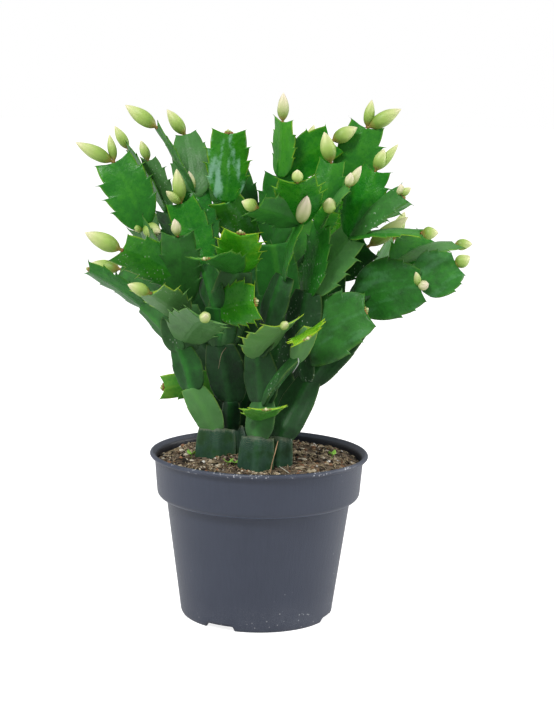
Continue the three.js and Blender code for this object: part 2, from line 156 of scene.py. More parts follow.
# Where each cutting's root stands. One row a segment: name, the segment it grows from, how far along
# that one, the tip's x and z as seen from the eye on the upright plane through the pot's axis, the
# tip's depth, width, turn of its face from the viewer in degrees, cupping, age, and its tone and
# bloom from 0 to 1. One row a bud: its segment, its point's x and z as seen, its step in depth, its
# diameter, and its colour.
ROOTS = {
    "stem_left": [-26, -9],
    "stem_middle": [-13, 5],
    "stem_front": [-2, -37],
    "stem_right": [11, -30],
    "stem_back_left": [-12, 20],
    "stem_back_right": [9, 22],
}
# Each segment's tone is partly its own green and partly painted light and shade, set by how brightly
# lit the segment looked
SEGMENTS = {
    "stem_left": [
        ["a1", "", 1, -25.5, 111, -7, 24, 0, 0, OLD, 0.15, 0.2],
        ["a2", "a1", 1, -41, 136, -8, 18, 15, 0, GROWN, 0.55, 0.75],
        ["a3", "a2", 1, -47, 159, -8, 20, 30, 0, GROWN, 0.34, 0.1],
        ["a4", "a3", 1, -47, 185, -6, 26, 10, 0, GROWN, 0.32, 0.3],
        ["a5", "a3", 1, -70, 184, 4, 20, 55, 0, GROWN, 0.4, 0.25],
        ["a6", "a5", 1, -103, 205, 8, 24, 65, 0.1, YOUNG, 0.5, 0.05],
        ["a7", "a4", 0.7, -66, 192, -42, 26, 44, 0.3, YOUNG, 0.62, 0.9],
        ["a8", "a4", 1, -50, 227, -28, 25, 0, 0.08, YOUNG, 0.34, 0.25],
        ["a9", "a8", 0.35, -84, 217, -32, 26, 20, 0.12, YOUNG, 0.56, 0.1],
        ["a10", "a8", 0.2, -71, 231, 14, 24, 70, 0, YOUNG, 0.4, 0.2],
        ["a11", "a10", 1, -88, 269, 18, 30, 0, -0.08, YOUNG, 0.5, 0.1],
        ["a12", "a4", 0.2, -33, 177, -55, 32, -23, 0.12, YOUNG, 0.42, 0.75],
    ],
    "stem_middle": [
        ["b1", "", 1, -17, 112, 3, 16, 0, 0, OLD, 0.15, 0.1],
        ["b2", "b1", 1, -17, 129, -8, 12, 20, 0, GROWN, 0.1, 0],
        ["b3", "b2", 1, -24, 162, -18, 24, 20, 0, GROWN, 0.12, 0.05],
        ["b5", "b3", 1, -26, 184, -22, 20, 14, 0, GROWN, 0.3, 0.1],
        ["b6", "b5", 1, -3, 187, -40, 27, 0, 0.15, YOUNG, 0.6, 0.05],
        ["b7", "b3", 1, -15, 206, -24, 24, 0, 0, GROWN, 0.28, 0.3],
        ["b8", "b7", 1, -13, 228, -40, 27, 0, 0.15, YOUNG, 0.7, 0],
        ["b9", "b7", 1, -34, 212, -62, 25, 59, 0.24, YOUNG, 0.5, 0.2],
        ["b10", "b5", 1, -34, 208, -8, 22, 50, 0, GROWN, 0.35, 0.1],
        ["b11", "b10", 1, -49, 246, 2, 23, 0, 0.1, YOUNG, 0.52, 0],
        ["b12", "b10", 1, -41, 253, 9, 24, -8, 0.06, YOUNG, 0.38, 0],
        ["b13", "b12", 1, -63, 289, 12, 22, 80, 0, YOUNG, 0.5, 0.2],
        ["b14", "b12", 0.88, -46, 285, 26, 24, 10, 0.1, BROAD, 0.42, 0.5],
    ],
    "stem_front": [
        ["c1", "", 1, -1, 106.5, -36, 21, 0, 0, OLD, 0.15, 0.1],
        ["c2", "c1", 1, 2, 129, -28, 18, 20, 0, GROWN, 0.34, 0.3],
        ["c3", "c2", 0.5, 4, 123, -57, 24, -36, 0.15, YOUNG, 0.7, 0.35],
        ["c4", "c2", 1, -2, 157, -26, 22, 25, 0, GROWN, 0.16, 0.1],
        ["c5", "c2", 1, 22, 155, -32, 16, 80, 0, GROWN, 0.3, 0.2],
        ["c13", "c5", 1, 29, 172, -40, 12, 0, 0, GROWN, 0.75, 1],
        ["c6", "c13", 1, 27, 166, -66, 22, -45, -0.12, YOUNG, 0.85, 0],
        ["c7", "c4", 1, 13, 174, -50, 34, -60, 0.25, YOUNG, 0.8, 1],
        ["c8", "c4", 1, 5, 172, -20, 20, 60, 0, GROWN, 0.2, 0.1],
        ["c9", "c8", 1, 13, 203, -22, 20, 40, 0, GROWN, 0.2, 0.1],
        ["c10", "c9", 1, 22, 236, -30, 24, 80, 0, YOUNG, 0.5, 0.15],
        ["c11", "c10", 1, 19, 259, -62, 28, 0, 0.25, YOUNG, 0.55, 0],
        ["c12", "c10", 1, -5, 243, -50, 24, 40, 0.1, YOUNG, 0.45, 0.2],
    ],
    "stem_right": [
        ["d1", "", 1, 12, 106.5, -28, 17, 10, 0, OLD, 0.15, 0.1],
        ["d2", "d1", 1, 29, 142, -14, 20, 15, 0, GROWN, 0.2, 0.1],
        ["d3", "d2", 1, 56, 174, -4, 22, 15, 0, GROWN, 0.22, 0.1],
        ["d4", "d2", 1, 21, 162, -12, 19, 50, 0, GROWN, 0.2, 0.1],
        ["d5", "d4", 1, 63, 184, -32, 41, 25, 0.05, BROAD, 0.38, 0.25],
        ["d6", "d4", 1, 27, 194, -14, 24, 25, 0, GROWN, 0.2, 0.1],
        ["d7", "d6", 1, 52, 228, -16, 25, 20, 0.08, YOUNG, 0.5, 0.5],
        ["d20", "d7", 1, 81, 253, -28, 20, 48, 0.15, YOUNG, 0.42, 0.3],
        ["d8", "d6", 1, 34, 235, -24, 22, 48, 0, YOUNG, 0.45, 0.1],
        ["d9", "d8", 1, 39, 271, -20, 20, 10, 0.1, YOUNG, 0.5, 0.1],
        ["d10", "d8", 1, 50, 257, -36, 22, 78, 0, YOUNG, 0.5, 0.4],
        ["d11", "d8", 0.85, 39, 242, -36, 14, 0, 0.2, YOUNG, 0.5, 0.1],
        ["d12", "d7", 1, 65, 267, -14, 24, 20, 0.1, YOUNG, 0.54, 0],
        ["d13", "d7", 1, 94, 230, -34, 24, 80, 0.1, YOUNG, 0.62, 0.1],
        ["d14", "d3", 1, 54, 193, -6, 20, 50, 0, GROWN, 0.3, 0.1],
        ["d15", "d14", 1, 94, 199, -26, 36, 0, 0.08, BROAD, 0.38, 0.14],
        ["d16", "d15", 1, 114, 212, -16, 29, 10, -0.08, BROAD, 0.42, 0.15],
        ["d17", "d14", 1, 79, 213, 2, 22, 50, 0, GROWN, 0.3, 0.1],
        ["d18", "d17", 1, 96, 228, 24, 22, 20, 0.1, YOUNG, 0.52, 0.1],
        ["d19", "d17", 1, 113, 224, 12, 24, 70, 0.1, YOUNG, 0.55, 0.6],
    ],
    "stem_back_left": [
        ["e1", "", 1, -14, 114, 22, 24, 0, 0, OLD, 0.2, 0.1],
        ["e2", "e1", 1, -19, 140, 28, 26, 10, 0, GROWN, 0.15, 0.05],
        ["e3", "e2", 1, -38, 170, 26, 24, 30, 0, GROWN, 0.2, 0.1],
        ["e4", "e3", 1, -46, 205, 26, 24, 20, 0, GROWN, 0.3, 0.1],
        ["e5", "e4", 1, -57, 241, 28, 24, 40, 0.1, YOUNG, 0.3, 0.1],
        ["e6", "e5", 1, -80, 276, 38, 24, 80, 0, YOUNG, 0.5, 0.1],
        ["e7", "e5", 1, -68, 270, 22, 22, 55, 0.1, YOUNG, 0.45, 0.6],
        ["e8", "e2", 1, -9, 180, 36, 28, 0, 0, GROWN, 0.2, 0.1],
        ["e9", "e8", 1, -8, 220, 28, 32, 0, 0, GROWN, 0.5, 0.1],
        ["e10", "e9", 1, -23, 247, 5, 25, 0, 0.1, YOUNG, 0.62, 0.1],
        ["e11", "e10", 1, -21, 287, -2, 26, 0, 0.1, YOUNG, 0.6, 0],
        ["e12", "e9", 1, -18, 264, 34, 24, 0, -0.1, YOUNG, 0.35, 0.1],
        ["e13", "e2", 1, -59, 135, 18, 20, 20, 0.1, YOUNG, 0.76, 0.3],
        ["e14", "e4", 1, -62, 222, 58, 26, 60, -0.15, YOUNG, 0.38, 0.1],
        ["e15", "e14", 1, -78, 248, 82, 26, 45, -0.1, YOUNG, 0.55, 0.5],
        ["e16", "e3", 1, -58, 187, 54, 26, 45, -0.1, YOUNG, 0.35, 0.1],
        ["e17", "e16", 1, -84, 206, 74, 25, 30, -0.15, YOUNG, 0.31, 0.2],
        ["e18", "e8", 1, -28, 200, 60, 26, -30, -0.1, YOUNG, 0.58, 0.1],
        ["e19", "e18", 1, -40, 228, 84, 26, -10, -0.15, YOUNG, 0.38, 0.2],
        ["e20", "e9", 1, -22, 250, 56, 26, 15, -0.1, YOUNG, 0.4, 0.1],
        ["e21", "e20", 1, -42, 270, 78, 26, 35, -0.1, YOUNG, 0.59, 0.2],
        ["e22", "e4", 1, -76, 224, 50, 26, 70, -0.1, YOUNG, 0.38, 0.1],
        ["e23", "e18", 1, -60, 206, 86, 26, 20, -0.15, YOUNG, 0.59, 0.2],
        ["e24", "e1", 1, -4, 144, 14, 22, 0, 0, GROWN, 0.1, 0],
    ],
    "stem_back_right": [
        ["f1", "", 1, 11, 114, 24, 19, 20, 0, OLD, 0.2, 0.1],
        ["f26", "f1", 1, 7, 147, 22, 30, 10, 0, GROWN, 0.2, 0.1],
        ["f2", "f1", 1, 23, 141, 26, 22, 20, 0, GROWN, 0.15, 0.05],
        ["f3", "f2", 1, 37, 174, 24, 20, 30, 0, GROWN, 0.2, 0.1],
        ["f4", "f3", 1, 42, 206, 18, 22, 30, 0, GROWN, 0.3, 0.1],
        ["f5", "f4", 1, 62, 222, 11, 24, 20, 0.1, YOUNG, 0.2, 0.1],
        ["f6", "f4", 1, 47, 250, 10, 22, 55, 0, YOUNG, 0.7, 0],
        ["f7", "f6", 1, 59, 292, 12, 27, 0, 0.1, YOUNG, 0.53, 0.1],
        ["f8", "f4", 1, 50, 234, 32, 22, 30, 0, YOUNG, 0.35, 0.1],
        ["f9", "f8", 1, 82, 251, 36, 22, 40, 0.1, YOUNG, 0.45, 0.6],
        ["f10", "f26", 1, 12, 180, 18, 24, 0, 0, GROWN, 0.3, 0.1],
        ["f11", "f10", 1, 6, 222, 10, 26, 0, 0, GROWN, 0.45, 0.1],
        ["f12", "f11", 1, 9, 263, 6, 24, 0, -0.08, YOUNG, 0.4, 0.1],
        ["f13", "f12", 1, 10, 294, 2, 24, 55, 0.1, YOUNG, 0.6, 0.1],
        ["f14", "f12", 1, 40, 283, 6, 26, -6, -0.05, YOUNG, 0.52, 0],
        ["f15", "f3", 1, 62, 192, 48, 26, -70, -0.1, YOUNG, 0.58, 0.1],
        ["f16", "f15", 1, 90, 208, 66, 26, -45, -0.15, YOUNG, 0.36, 0.2],
        ["f17", "f15", 1, 76, 226, 74, 26, -70, -0.1, YOUNG, 0.52, 0.2],
        ["f18", "f10", 1, 18, 204, 58, 26, 30, -0.1, YOUNG, 0.33, 0.2],
        ["f19", "f18", 1, 19, 236, 84, 28, 10, -0.15, YOUNG, 0.54, 0.1],
        ["f20", "f11", 1, 8, 253, 48, 26, -60, -0.1, YOUNG, 0.36, 0.5],
        ["f21", "f8", 1, 60, 264, 62, 26, -60, -0.1, YOUNG, 0.4, 0.2],
        ["f22", "f18", 1, 48, 218, 86, 26, -30, -0.15, YOUNG, 0.3, 0.2],
        ["f23", "f20", 1, 24, 276, 74, 26, -40, -0.1, YOUNG, 0.5, 0.2],
    ],
}
BUDS = {
    "stem_left": [
        ["a11", -109.5, 278, -4, 8.5, GREEN],
        ["a11", -90, 283, 2, 5.5, GREEN],
        ["a9", -104, 226, -6, 10, GREEN],
        ["a10", -77, 229, 0, 5.5, GREEN],
        ["a10", -60, 227, -12, 9.5, GREEN],
        ["a8", -52, 235, -4, 6, PALE],
        ["a7", -79, 196, -4, 7.5, GREEN],
        ["a12", -33, 179, -9, 6.5, GREEN],
    ],
    "stem_middle": [
        ["b13", -81, 300, 0, 9, GREEN],
        ["b14", -57, 298, 0, 8, GREEN],
        ["b11", -51, 264, -4, 8, GREEN],
        ["b11", -57, 251, -8, 5.5, GREEN],
        ["b12", -44, 263, 0, 5, PALE],
    ],
    "stem_front": [
        ["c11", 19, 265, -3, 6.5, GREEN],
        ["c12", -13, 246, 0, 7.5, GREEN],
        ["c10", 25, 250, -24, 8.5, PALE],
        ["c7", 15, 175, -8, 5, GREEN],
    ],
    "stem_right": [
        ["d9", 34, 287, 0, 9, GREEN],
        ["d10", 50, 264, -3, 5.5, PALE],
        ["d10", 56, 268, 2, 5.5, PALE],
        ["d11", 38, 249, -6, 8, GREEN],
        ["d12", 69, 278, 0, 7.5, GREEN],
        ["d12", 77, 281, 4, 5.5, GREEN],
        ["d13", 102, 230, 0, 7.5, GREEN],
        ["d20", 79, 258, -2, 5, PALE],
        ["d20", 85, 256, -2, 4.5, GREEN],
        ["d19", 122, 224, 0, 7, GREEN],
        ["d16", 121, 217, 0, 8, GREEN],
        ["d15", 89.5, 207, -5, 4.5, GREEN],
        ["d15", 97, 200, -4, 6, PALE],
    ],
    "stem_back_left": [
        ["e6", -87, 288, 0, 6.5, GREEN],
        ["e7", -72, 280, 0, 6, GREEN],
        ["e15", -86, 264, 8, 8, GREEN],
        ["e17", -101, 208, 6, 8.5, GREEN],
        ["e19", -44, 243, 8, 8, GREEN],
        ["e21", -48, 284, 6, 6.5, GREEN],
        ["e22", -71, 234, 0, 6.5, GREEN],
    ],
    "stem_back_right": [
        ["f13", 10, 309, 0, 7, PALE],
        ["f14", 53, 290, 0, 9, GREEN],
        ["f7", 61, 306, 0, 6.5, GREEN],
        ["f7", 78, 301, -2, 9, GREEN],
        ["f5", 84, 239, 4, 9, GREEN],
        ["f16", 104, 214, 6, 8.5, GREEN],
        ["f17", 82, 242, 8, 8, GREEN],
        ["f19", 16, 253, 8, 8, GREEN],
        ["f21", 64, 280, 6, 6.5, GREEN],
        ["f22", 55, 232, 10, 7.5, GREEN],
        ["f23", 28, 291, 6, 7, GREEN],
    ],
}

# Soil, straw, bark and perlite, dark to pale, and how often each turns up
LITTER = [
    [(0.018, 0.015, 0.011), 0.32],
    [(0.12, 0.09, 0.065), 0.23],
    [(0.3, 0.15, 0.08), 0.12],
    [(0.5, 0.41, 0.28), 0.2],
    [(0.76, 0.68, 0.54), 0.1],
    [(0.9, 0.88, 0.84), 0.03],
]
CRUMBS = 2200
# About half the width of a large crumb
CRUMB_HALF = 1.6
FIBRES = 700
STRAW, BARK = np.array([0.55, 0.45, 0.28]), np.array([0.13, 0.07, 0.035])
# Dried threads on the soil and among the stems: their points, half width and colour
THREADS = [
    [[[11, -41, 113], [9.5, -43.5, 107], [8, -44.5, 101], [7, -46, 95.5]], 0.42, (0.42, 0.27, 0.15)],
    [[[12, -42, 98.5], [15, -44, 97], [18, -47, 95.5]], 0.4, (0.5, 0.5, 0.42)],
    [[[-20, -26, 164], [-22.5, -28.5, 160], [-24, -28.5, 152]], 0.4, (0.3, 0.25, 0.16)],
    [[[21.4, -40, 161], [21.8, -41, 158.5], [20.8, -40, 156], [18.5, -38, 152]], 0.4, (0.5, 0.56, 0.5)],
]
# Seedlings: x, y, height and heading in degrees, and how long and wide their leaves are
SEEDLINGS = [[-18, -26, 2, 200], [-14, -26, 2, 20], [-40, -12, 3, 140], [43, -6, 3, 60]]
SEED_LEAF = [3.8, 3.2]

random = np.random.default_rng(19)

# The soil's fine lumps: their length and depth, then a heading and two shifts drawn for each
FINE_LUMPS = [[3.1, 0.34], [2.2, 0.3], [1.6, 0.26], [1.1, 0.2], [0.8, 0.14]]
WAVES = [[*lump, random.uniform(0, 2 * np.pi), *random.uniform(0, 6, 2)] for lump in FINE_LUMPS]


def unit(vector):
    return vector / np.linalg.norm(vector)


def round_angles(sides):
    return 2 * np.pi * np.arange(sides) / sides


class Socket:
    """One output of a node. Arithmetic on it adds Math nodes."""

    def __init__(self, nodes, output):
        self.nodes = nodes
        self.output = output

    def math(self, operation, *values):
        inputs = {f"_{i}": value for i, value in enumerate(values)}
        return self.nodes.node("Math", {"operation": operation}, **inputs)

    def __add__(self, other):
        return self.math("ADD", self, other)

    def __sub__(self, other):
        return self.math("SUBTRACT", self, other)

    def __rsub__(self, other):
        return self.math("SUBTRACT", other, self)

    def __mul__(self, other):
        return self.math("MULTIPLY", self, other)

    __radd__ = __add__
    __rmul__ = __mul__

    def sine(self):
        return self.math("SINE", self)

    def size(self):
        return self.math("ABSOLUTE", self)

    def kept(self):
        """The value held between 0 and 1."""
        return self.math("MINIMUM", self.math("MAXIMUM", self, 0.0), 1.0)


class Nodes:
    """A tree of nodes made by code."""

    def __init__(self, tree):
        self.tree = tree

    def fill(self, made, values):
        """Sets or links a node's sockets, each by its name, or by its number after an underscore."""
        for key, value in values.items():
            place = made.inputs[int(key[1:]) if key[0] == "_" else key.replace("_", " ")]
            if isinstance(value, Socket):
                self.tree.links.new(value.output, place)
            else:
                place.default_value = value

    def node(self, kind, settings=None, output=0, **inputs):
        """A node of a kind. Its settings are set first, such as a ramp's stops of [position, colour],
        then its sockets."""
        made = self.tree.nodes.new("ShaderNode" + kind)
        for key, value in (settings or {}).items():
            if key != "stops":
                setattr(made, key, value)
                continue
            stops = made.color_ramp.elements
            while len(stops) < len(value):
                stops.new(0.5)
            for stop, (position, colour) in zip(stops, value):
                stop.position = position
                stop.color = (*colour, 1)
        self.fill(made, inputs)
        return Socket(self, made.outputs[output])


class Finish(Nodes):
    """A material made by code: its nodes, and the Principled shader that they feed."""

    def __init__(self, name, **constants):
        self.material = bpy.data.materials.new(name)
        self.material.use_nodes = True
        super().__init__(self.material.node_tree)
        self.shader = self.tree.nodes["Principled BSDF"]
        self.feed(**constants)

    def feed(self, **values):
        self.fill(self.shader, values)
        return self

    def relief(self, height, depth):
        """Bumps, with the height from 0 to 1 and the depth in millimetres, fed to Normal."""
        return self.feed(Normal=self.node("Bump", Height=height, Distance=depth * MM))

    def scaled(self, vector, way):
        """A vector stretched along each axis."""
        return self.node("VectorMath", {"operation": "MULTIPLY"}, _0=vector, _1=way)

    def split(self, vector):
        return [self.node("SeparateXYZ", output=i, Vector=vector) for i in range(3)]

    def place(self, x=1.0, y=1.0, z=1.0):
        """Object coordinates in millimetres, stretched along each axis."""
        return self.scaled(self.node("TexCoord", output="Object"), (x / MM, y / MM, z / MM))

    def noise(self, where, size, detail=3.0, roughness=0.55):
        """Noise whose lumps are about that many millimetres across."""
        return self.node("TexNoise", Vector=where, Scale=1 / size, Detail=detail, Roughness=roughness)

    def cells(self, where, size):
        """Distance from the middle of the nearest of scattered points, as a share of their spacing."""
        return self.node("TexVoronoi", Vector=where, Scale=1 / size)

    def step(self, value, low, high):
        """0 below low, 1 above high, and smooth between."""
        settings = {"interpolation_type": "SMOOTHSTEP"}
        return self.node("MapRange", settings, Value=value, From_Min=low, From_Max=high)

    def ramp(self, value, *stops):
        return self.node("ValToRGB", {"stops": stops}, _0=value)

    def mix(self, share, first, second):
        """A colour between two colours."""
        first, second = (end if isinstance(end, Socket) else (*end, 1) for end in (first, second))
        return self.node("Mix", {"data_type": "RGBA"}, 2, _0=share, _6=first, _7=second)

    def coated(self, colour, *coats):
        """A colour under coats of [share, colour], the last one on top."""
        for share, coat in coats:
            colour = self.mix(share, colour, coat)
        return colour

    def marks(self, name):
        """The four values of a colour attribute."""
        read = self.node("Attribute", {"attribute_name": name}, "Color")
        split = [self.node("SeparateColor", output=i, Color=read) for i in range(3)]
        return [*split, self.node("Attribute", {"attribute_name": name}, "Alpha")]


def skinned(rings, skin=(1, 1, 1, 1), flat=(1, 1), leaf=(1, 1, 1, 1), round_ends=False):
    """A closed skin over rings of equally many points: quads between neighbouring rings. Each end is
    closed by joining the ring's mirrored points, or by a fan to its middle. Its marks, skin and leaf,
    and its place on a flat sheet are numbers or arrays, each spread over all the points."""
    rows, sides = rings.shape[:2]
    corner = np.arange(rows * sides).reshape(rows, sides)
    ahead = np.roll(corner, -1, axis=1)
    quads = [np.stack([corner[:-1], ahead[:-1], ahead[1:], corner[1:]], -1).reshape(-1, 4)]
    layers = [rings.reshape(-1, 3)]
    for marks in (skin, flat, leaf):
        spread = [np.broadcast_to(mark, (rows, sides)) for mark in marks]
        layers.append(np.stack(spread, -1).reshape(-1, len(marks)))
    tris = []
    for ring, turn in ((corner[0], 1), (corner[-1], -1)):
        if round_ends:
            pole = np.full(sides, len(layers[0]))
            layers = [np.concatenate([layer, layer[ring].mean(0)[None]]) for layer in layers]
            tris.append(np.stack([ring, pole, np.roll(ring, -1)], -1)[:, ::turn])
        else:
            half = sides // 2
            k = np.arange(1, half - 1)
            across = np.stack([ring[k], ring[sides - k], ring[sides - k - 1], ring[k + 1]], -1)
            quads.append(across[:, ::turn])
            ends = [[ring[0], ring[-1], ring[1]], [ring[half - 1], ring[half + 1], ring[half]]]
            tris.append(np.array(ends)[:, ::turn])
    quads, tris = np.concatenate(quads), np.concatenate(tris)
    faces = np.concatenate([quads[:, :3], quads[:, [0, 2, 3]], tris])
    a, b, c = np.moveaxis(layers[0][faces] - layers[0].mean(0), 1, 0)
    if np.sum(a * np.cross(b, c)) < 0:
        quads, tris = quads[:, ::-1], tris[:, ::-1]
    return dict(zip(("points", "skin", "flat", "leaf", "quads", "tris"), (*layers, quads, tris)))


def joined(shapes):
    """Several shapes as one, their corners counted on."""
    starts = np.cumsum([0, *[len(shape["points"]) for shape in shapes]])[:-1]
    made = {key: np.concatenate([s[key] for s in shapes]) for key in ("points", "skin", "flat", "leaf")}
    for key in ("quads", "tris"):
        made[key] = np.concatenate([s[key] + start for s, start in zip(shapes, starts)])
    return made


def piece(name, shape, finish, slot, *nodes, smooth=True):
    """Puts a shape, in millimetres from the pot's axis, into a mesh that rides on the part."""
    mesh = bpy.data.meshes.new(name)
    faces = [*shape["quads"].tolist(), *shape["tris"].tolist()]
    mesh.from_pydata(((shape["points"] + AXIS) * MM).tolist(), [], faces)
    mesh.polygons.foreach_set("use_smooth", np.full(len(faces), smooth))
    for key in ("skin", "leaf"):
        layer = mesh.attributes.new(key, "FLOAT_COLOR", "POINT")
        layer.data.foreach_set("color", shape[key].astype(np.float32).ravel())
    corners = np.concatenate([shape["quads"].ravel(), shape["tris"].ravel()])
    flat = mesh.uv_layers.new(name="UVMap")
    flat.uv.foreach_set("vector", shape["flat"][corners].astype(np.float32).ravel())
    made = standing(name, mesh, finish)
    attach(made, BODY)
    if nodes:
        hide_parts(*nodes)
    return made


def standing(name, mesh, finish):
    """A mesh in its finish, as an object of the scene."""
    mesh.materials.append(finish.material)
    made = bpy.data.objects.new(name, mesh)
    bpy.context.scene.collection.objects.link(made)
    return made


def seen_at(x, z, depth):
    """The point at a depth on the sight line from the eye through (x, 0, z)."""
    return EYE + (np.array([x, 0.0, z]) - EYE) * (depth - EYE[1]) / -EYE[1]


def on_segment(segment, along_share, across_share, height):
    """Along the straight midrib by a share of its length, raised by an arch that is a share of the
    length times a half sine, then across by a share of half the width, and off the face by a height
    plus the cupping, which grows with the square of the share across."""
    s, v, h = (np.asarray(value, float)[..., None] for value in (along_share, across_share, height))
    along, half = segment["along"], segment["width"] / 2
    up = np.array([0, 0, 1]) - along * along[2]
    arch = ARCH * segment["length"] * np.sin(np.pi * np.clip(s, 0, 1))
    lift = segment["cup"] * half * v * v + h
    straight = segment["base"] + along * segment["length"] * s
    return straight + up * arch + segment["across"] * half * v + segment["off"] * lift


def placed(row, root, grown):
    """A segment's base, tip and length, with its directions along, across its face and off it. Its
    face looks at the eye, turned about its length by the row's angle. The first starts in the soil."""
    name, parent, share, x, z, depth, width, turn, cup, age, tone, bloom = row
    if parent:
        before = grown[parent]
        base = on_segment(before, min(share, 1 - SUNK / before["length"]), 0, 0)
    else:
        base = np.array([*root, STUB_Z])
    tip = seen_at(x, z, depth)
    along = unit(tip - base)
    sight = unit((base + tip) / 2 - EYE)
    level = unit(np.cross(sight, along))
    angle = math.radians(-turn)
    across = level * math.cos(angle) + np.cross(along, level) * math.sin(angle)
    return {
        "base": base,
        "tip": tip,
        "along": along,
        "across": across,
        "off": np.cross(along, across),
        "length": float(np.linalg.norm(tip - base)),
        "width": width,
        "cup": cup,
        "age": age,
        "tone": tone,
        "bloom": bloom,
        "gleam": PAINTED_GLEAMS.get(name, 0.0),
    }


def rim(age, early):
    """One rim of a segment from base to tip, as shares of its length and of half its width. Between
    a notch and the next tooth it rises as a floor plus a reach times a power of a sine, less what is
    left of the notch, and ends in a hook that grows with a high power. Then it drops to the notch."""
    floor, reach, start, span, power = age["swelling"]
    notch, hook = age["notch"], age["hook"]
    shares, halves = [], []
    low, deep = 0.0, 0.0

    def swell(s):
        return floor + reach * np.sin(np.pi * (start + span * s**0.85)) ** power

    for i, point in enumerate(age["teeth"]):
        last = i == len(age["teeth"]) - 1
        point = point if last else point + early + random.uniform(-0.02, 0.02)
        size = random.uniform(0.6, 1.2) * (0.55 + 0.65 * point)
        f = 1 - (1 - np.linspace(0, 1, RISE_STEPS)) ** 1.6
        s = low + (point - low) * f
        h = swell(s) * (1 - deep * (1 - f) ** 1.4) + hook * size * f**18
        shares.append(s)
        halves.append(h)
        if not last:
            deep = notch * size * 1.2
            low = point - 0.014
            f = np.array([0.35, 0.7])
            shares.append(point + (low - point) * f)
            halves.append(h[-1] + (swell(low) * (1 - deep) - h[-1]) * f**0.7)
    tip = np.array(age["tip"])
    return np.concatenate([*shares, tip[:, 0]]), np.concatenate([*halves, tip[:, 1]])


def eased(values):
    """Each value replaced by the mean of the nine round it, as the ends run on straight."""
    start, end = values[0], values[-1]
    ahead = end + (values[-1] - values[-2]) * np.arange(1, 5)
    before = start - (values[1] - values[0]) * np.arange(4, 0, -1)
    return np.convolve(np.concatenate([before, values, ahead]), np.full(9, 1 / 9), "valid")


def blade(segment):
    """A segment's skin. Round each ring the share across runs as a cosine, and the height as the
    blade's thickness, thinner to the rim and rounded off there, plus a bell over the midrib. The
    middle follows both rims' eased mean, and teeth and notches grow towards the rim with a high
    power of the share across. The rims wave a little."""
    age, half, length = segment["age"], segment["width"] / 2, segment["length"]
    right, left = rim(age, 0.02), rim(age, -0.02)
    mean = (right[0] + left[0]) / 2
    middle = np.linspace(0, 1, len(mean)) ** 0.95
    middle = age["tip"][-1][0] * (0.35 * middle + 0.65 * eased(mean) / eased(mean).max())
    middle = np.maximum.accumulate(middle + 0.002 * np.arange(len(mean)) / len(mean))
    body = eased((right[1] + left[1]) / 2)
    body[-len(age["tip"]) :] = np.array(age["tip"])[:, 1]
    angle = round_angles(SIDES)
    v = np.cos(angle)[None]
    v = np.sign(v) * np.abs(v) ** 1.15
    side = np.sign(np.sin(angle).round(6))[None]
    share = np.where(v > 0, right[0][:, None], left[0][:, None])
    wide = np.where(v > 0, right[1][:, None], left[1][:, None])
    s = middle[:, None] + (share - middle[:, None]) * np.abs(v) ** 2.2
    across = v * body[:, None] + np.sign(v) * (wide - body[:, None]) * np.abs(v) ** 4
    ribbed, rib_half = age["rib"]
    thin = age["blade"] * (1 - 0.45 * np.abs(v) ** 1.5) * (1 - v**8) ** 0.5
    bell = ribbed * np.exp(-((across * half / rib_half) ** 2))
    growth = np.clip(s * 5 + 0.7, 0, 1) * np.clip((1.05 - s) * 9 + 0.3, 0, 1) ** 0.5
    height = side * (thin + bell) * growth
    phase = random.uniform(0, 2 * np.pi, 3)
    wave = 0.035 * half * np.sin(2 * np.pi * 2.2 * s + phase[0] + np.sign(v)) * v**2
    bow = 0.03 * length * math.sin(phase[1]) * np.sin(np.pi * np.clip(s, 0, 1))
    loose = 0.0 if age is OLD else 1.0
    rings = on_segment(segment, s, across, height + loose * (wave + bow))
    # The tone carries painted light and shade as well as the segment's own green
    tone = segment["tone"] + random.uniform(-0.04, 0.04)
    chance = random.uniform() * (age is not BROAD)
    skin = (tone, np.abs(v), s, age["wood"])
    leaf = (segment["bloom"], chance, 1, segment["gleam"])
    return skinned(rings, skin, (across * half, s * length), leaf)


def collar(segment, root):
    """The buried end of a cutting: ellipses up a straight line, a little fuller at the soil."""
    z = np.linspace(SOIL_RIM_Z - ROOT_DEPTH + 2, STUB_Z + 4, 18)[:, None]
    angle = round_angles(SIDES)[None]
    fuller = np.exp(-(((z - SOIL_RIM_Z) / 5) ** 2))
    ridged = 1 + 0.05 * np.sin(5 * angle + 1)
    half = 0.42 * segment["width"] * (1 + 0.08 * fuller) * ridged
    thick = 3.6 * (1 + 0.25 * fuller) * ridged
    across = unit(segment["across"] * [1, 1, 0])
    off = np.array([-across[1], across[0], 0])
    ring = (np.cos(angle) * half)[..., None] * across + (np.sin(angle) * thick)[..., None] * off
    rings = ring + np.array([*root, 0]) + z[..., None] * np.array([0, 0, 1])
    return skinned(rings, (0.16, 0.4, 0, 1), (angle * 4, z), (0.2, 0.5, 1, 0))


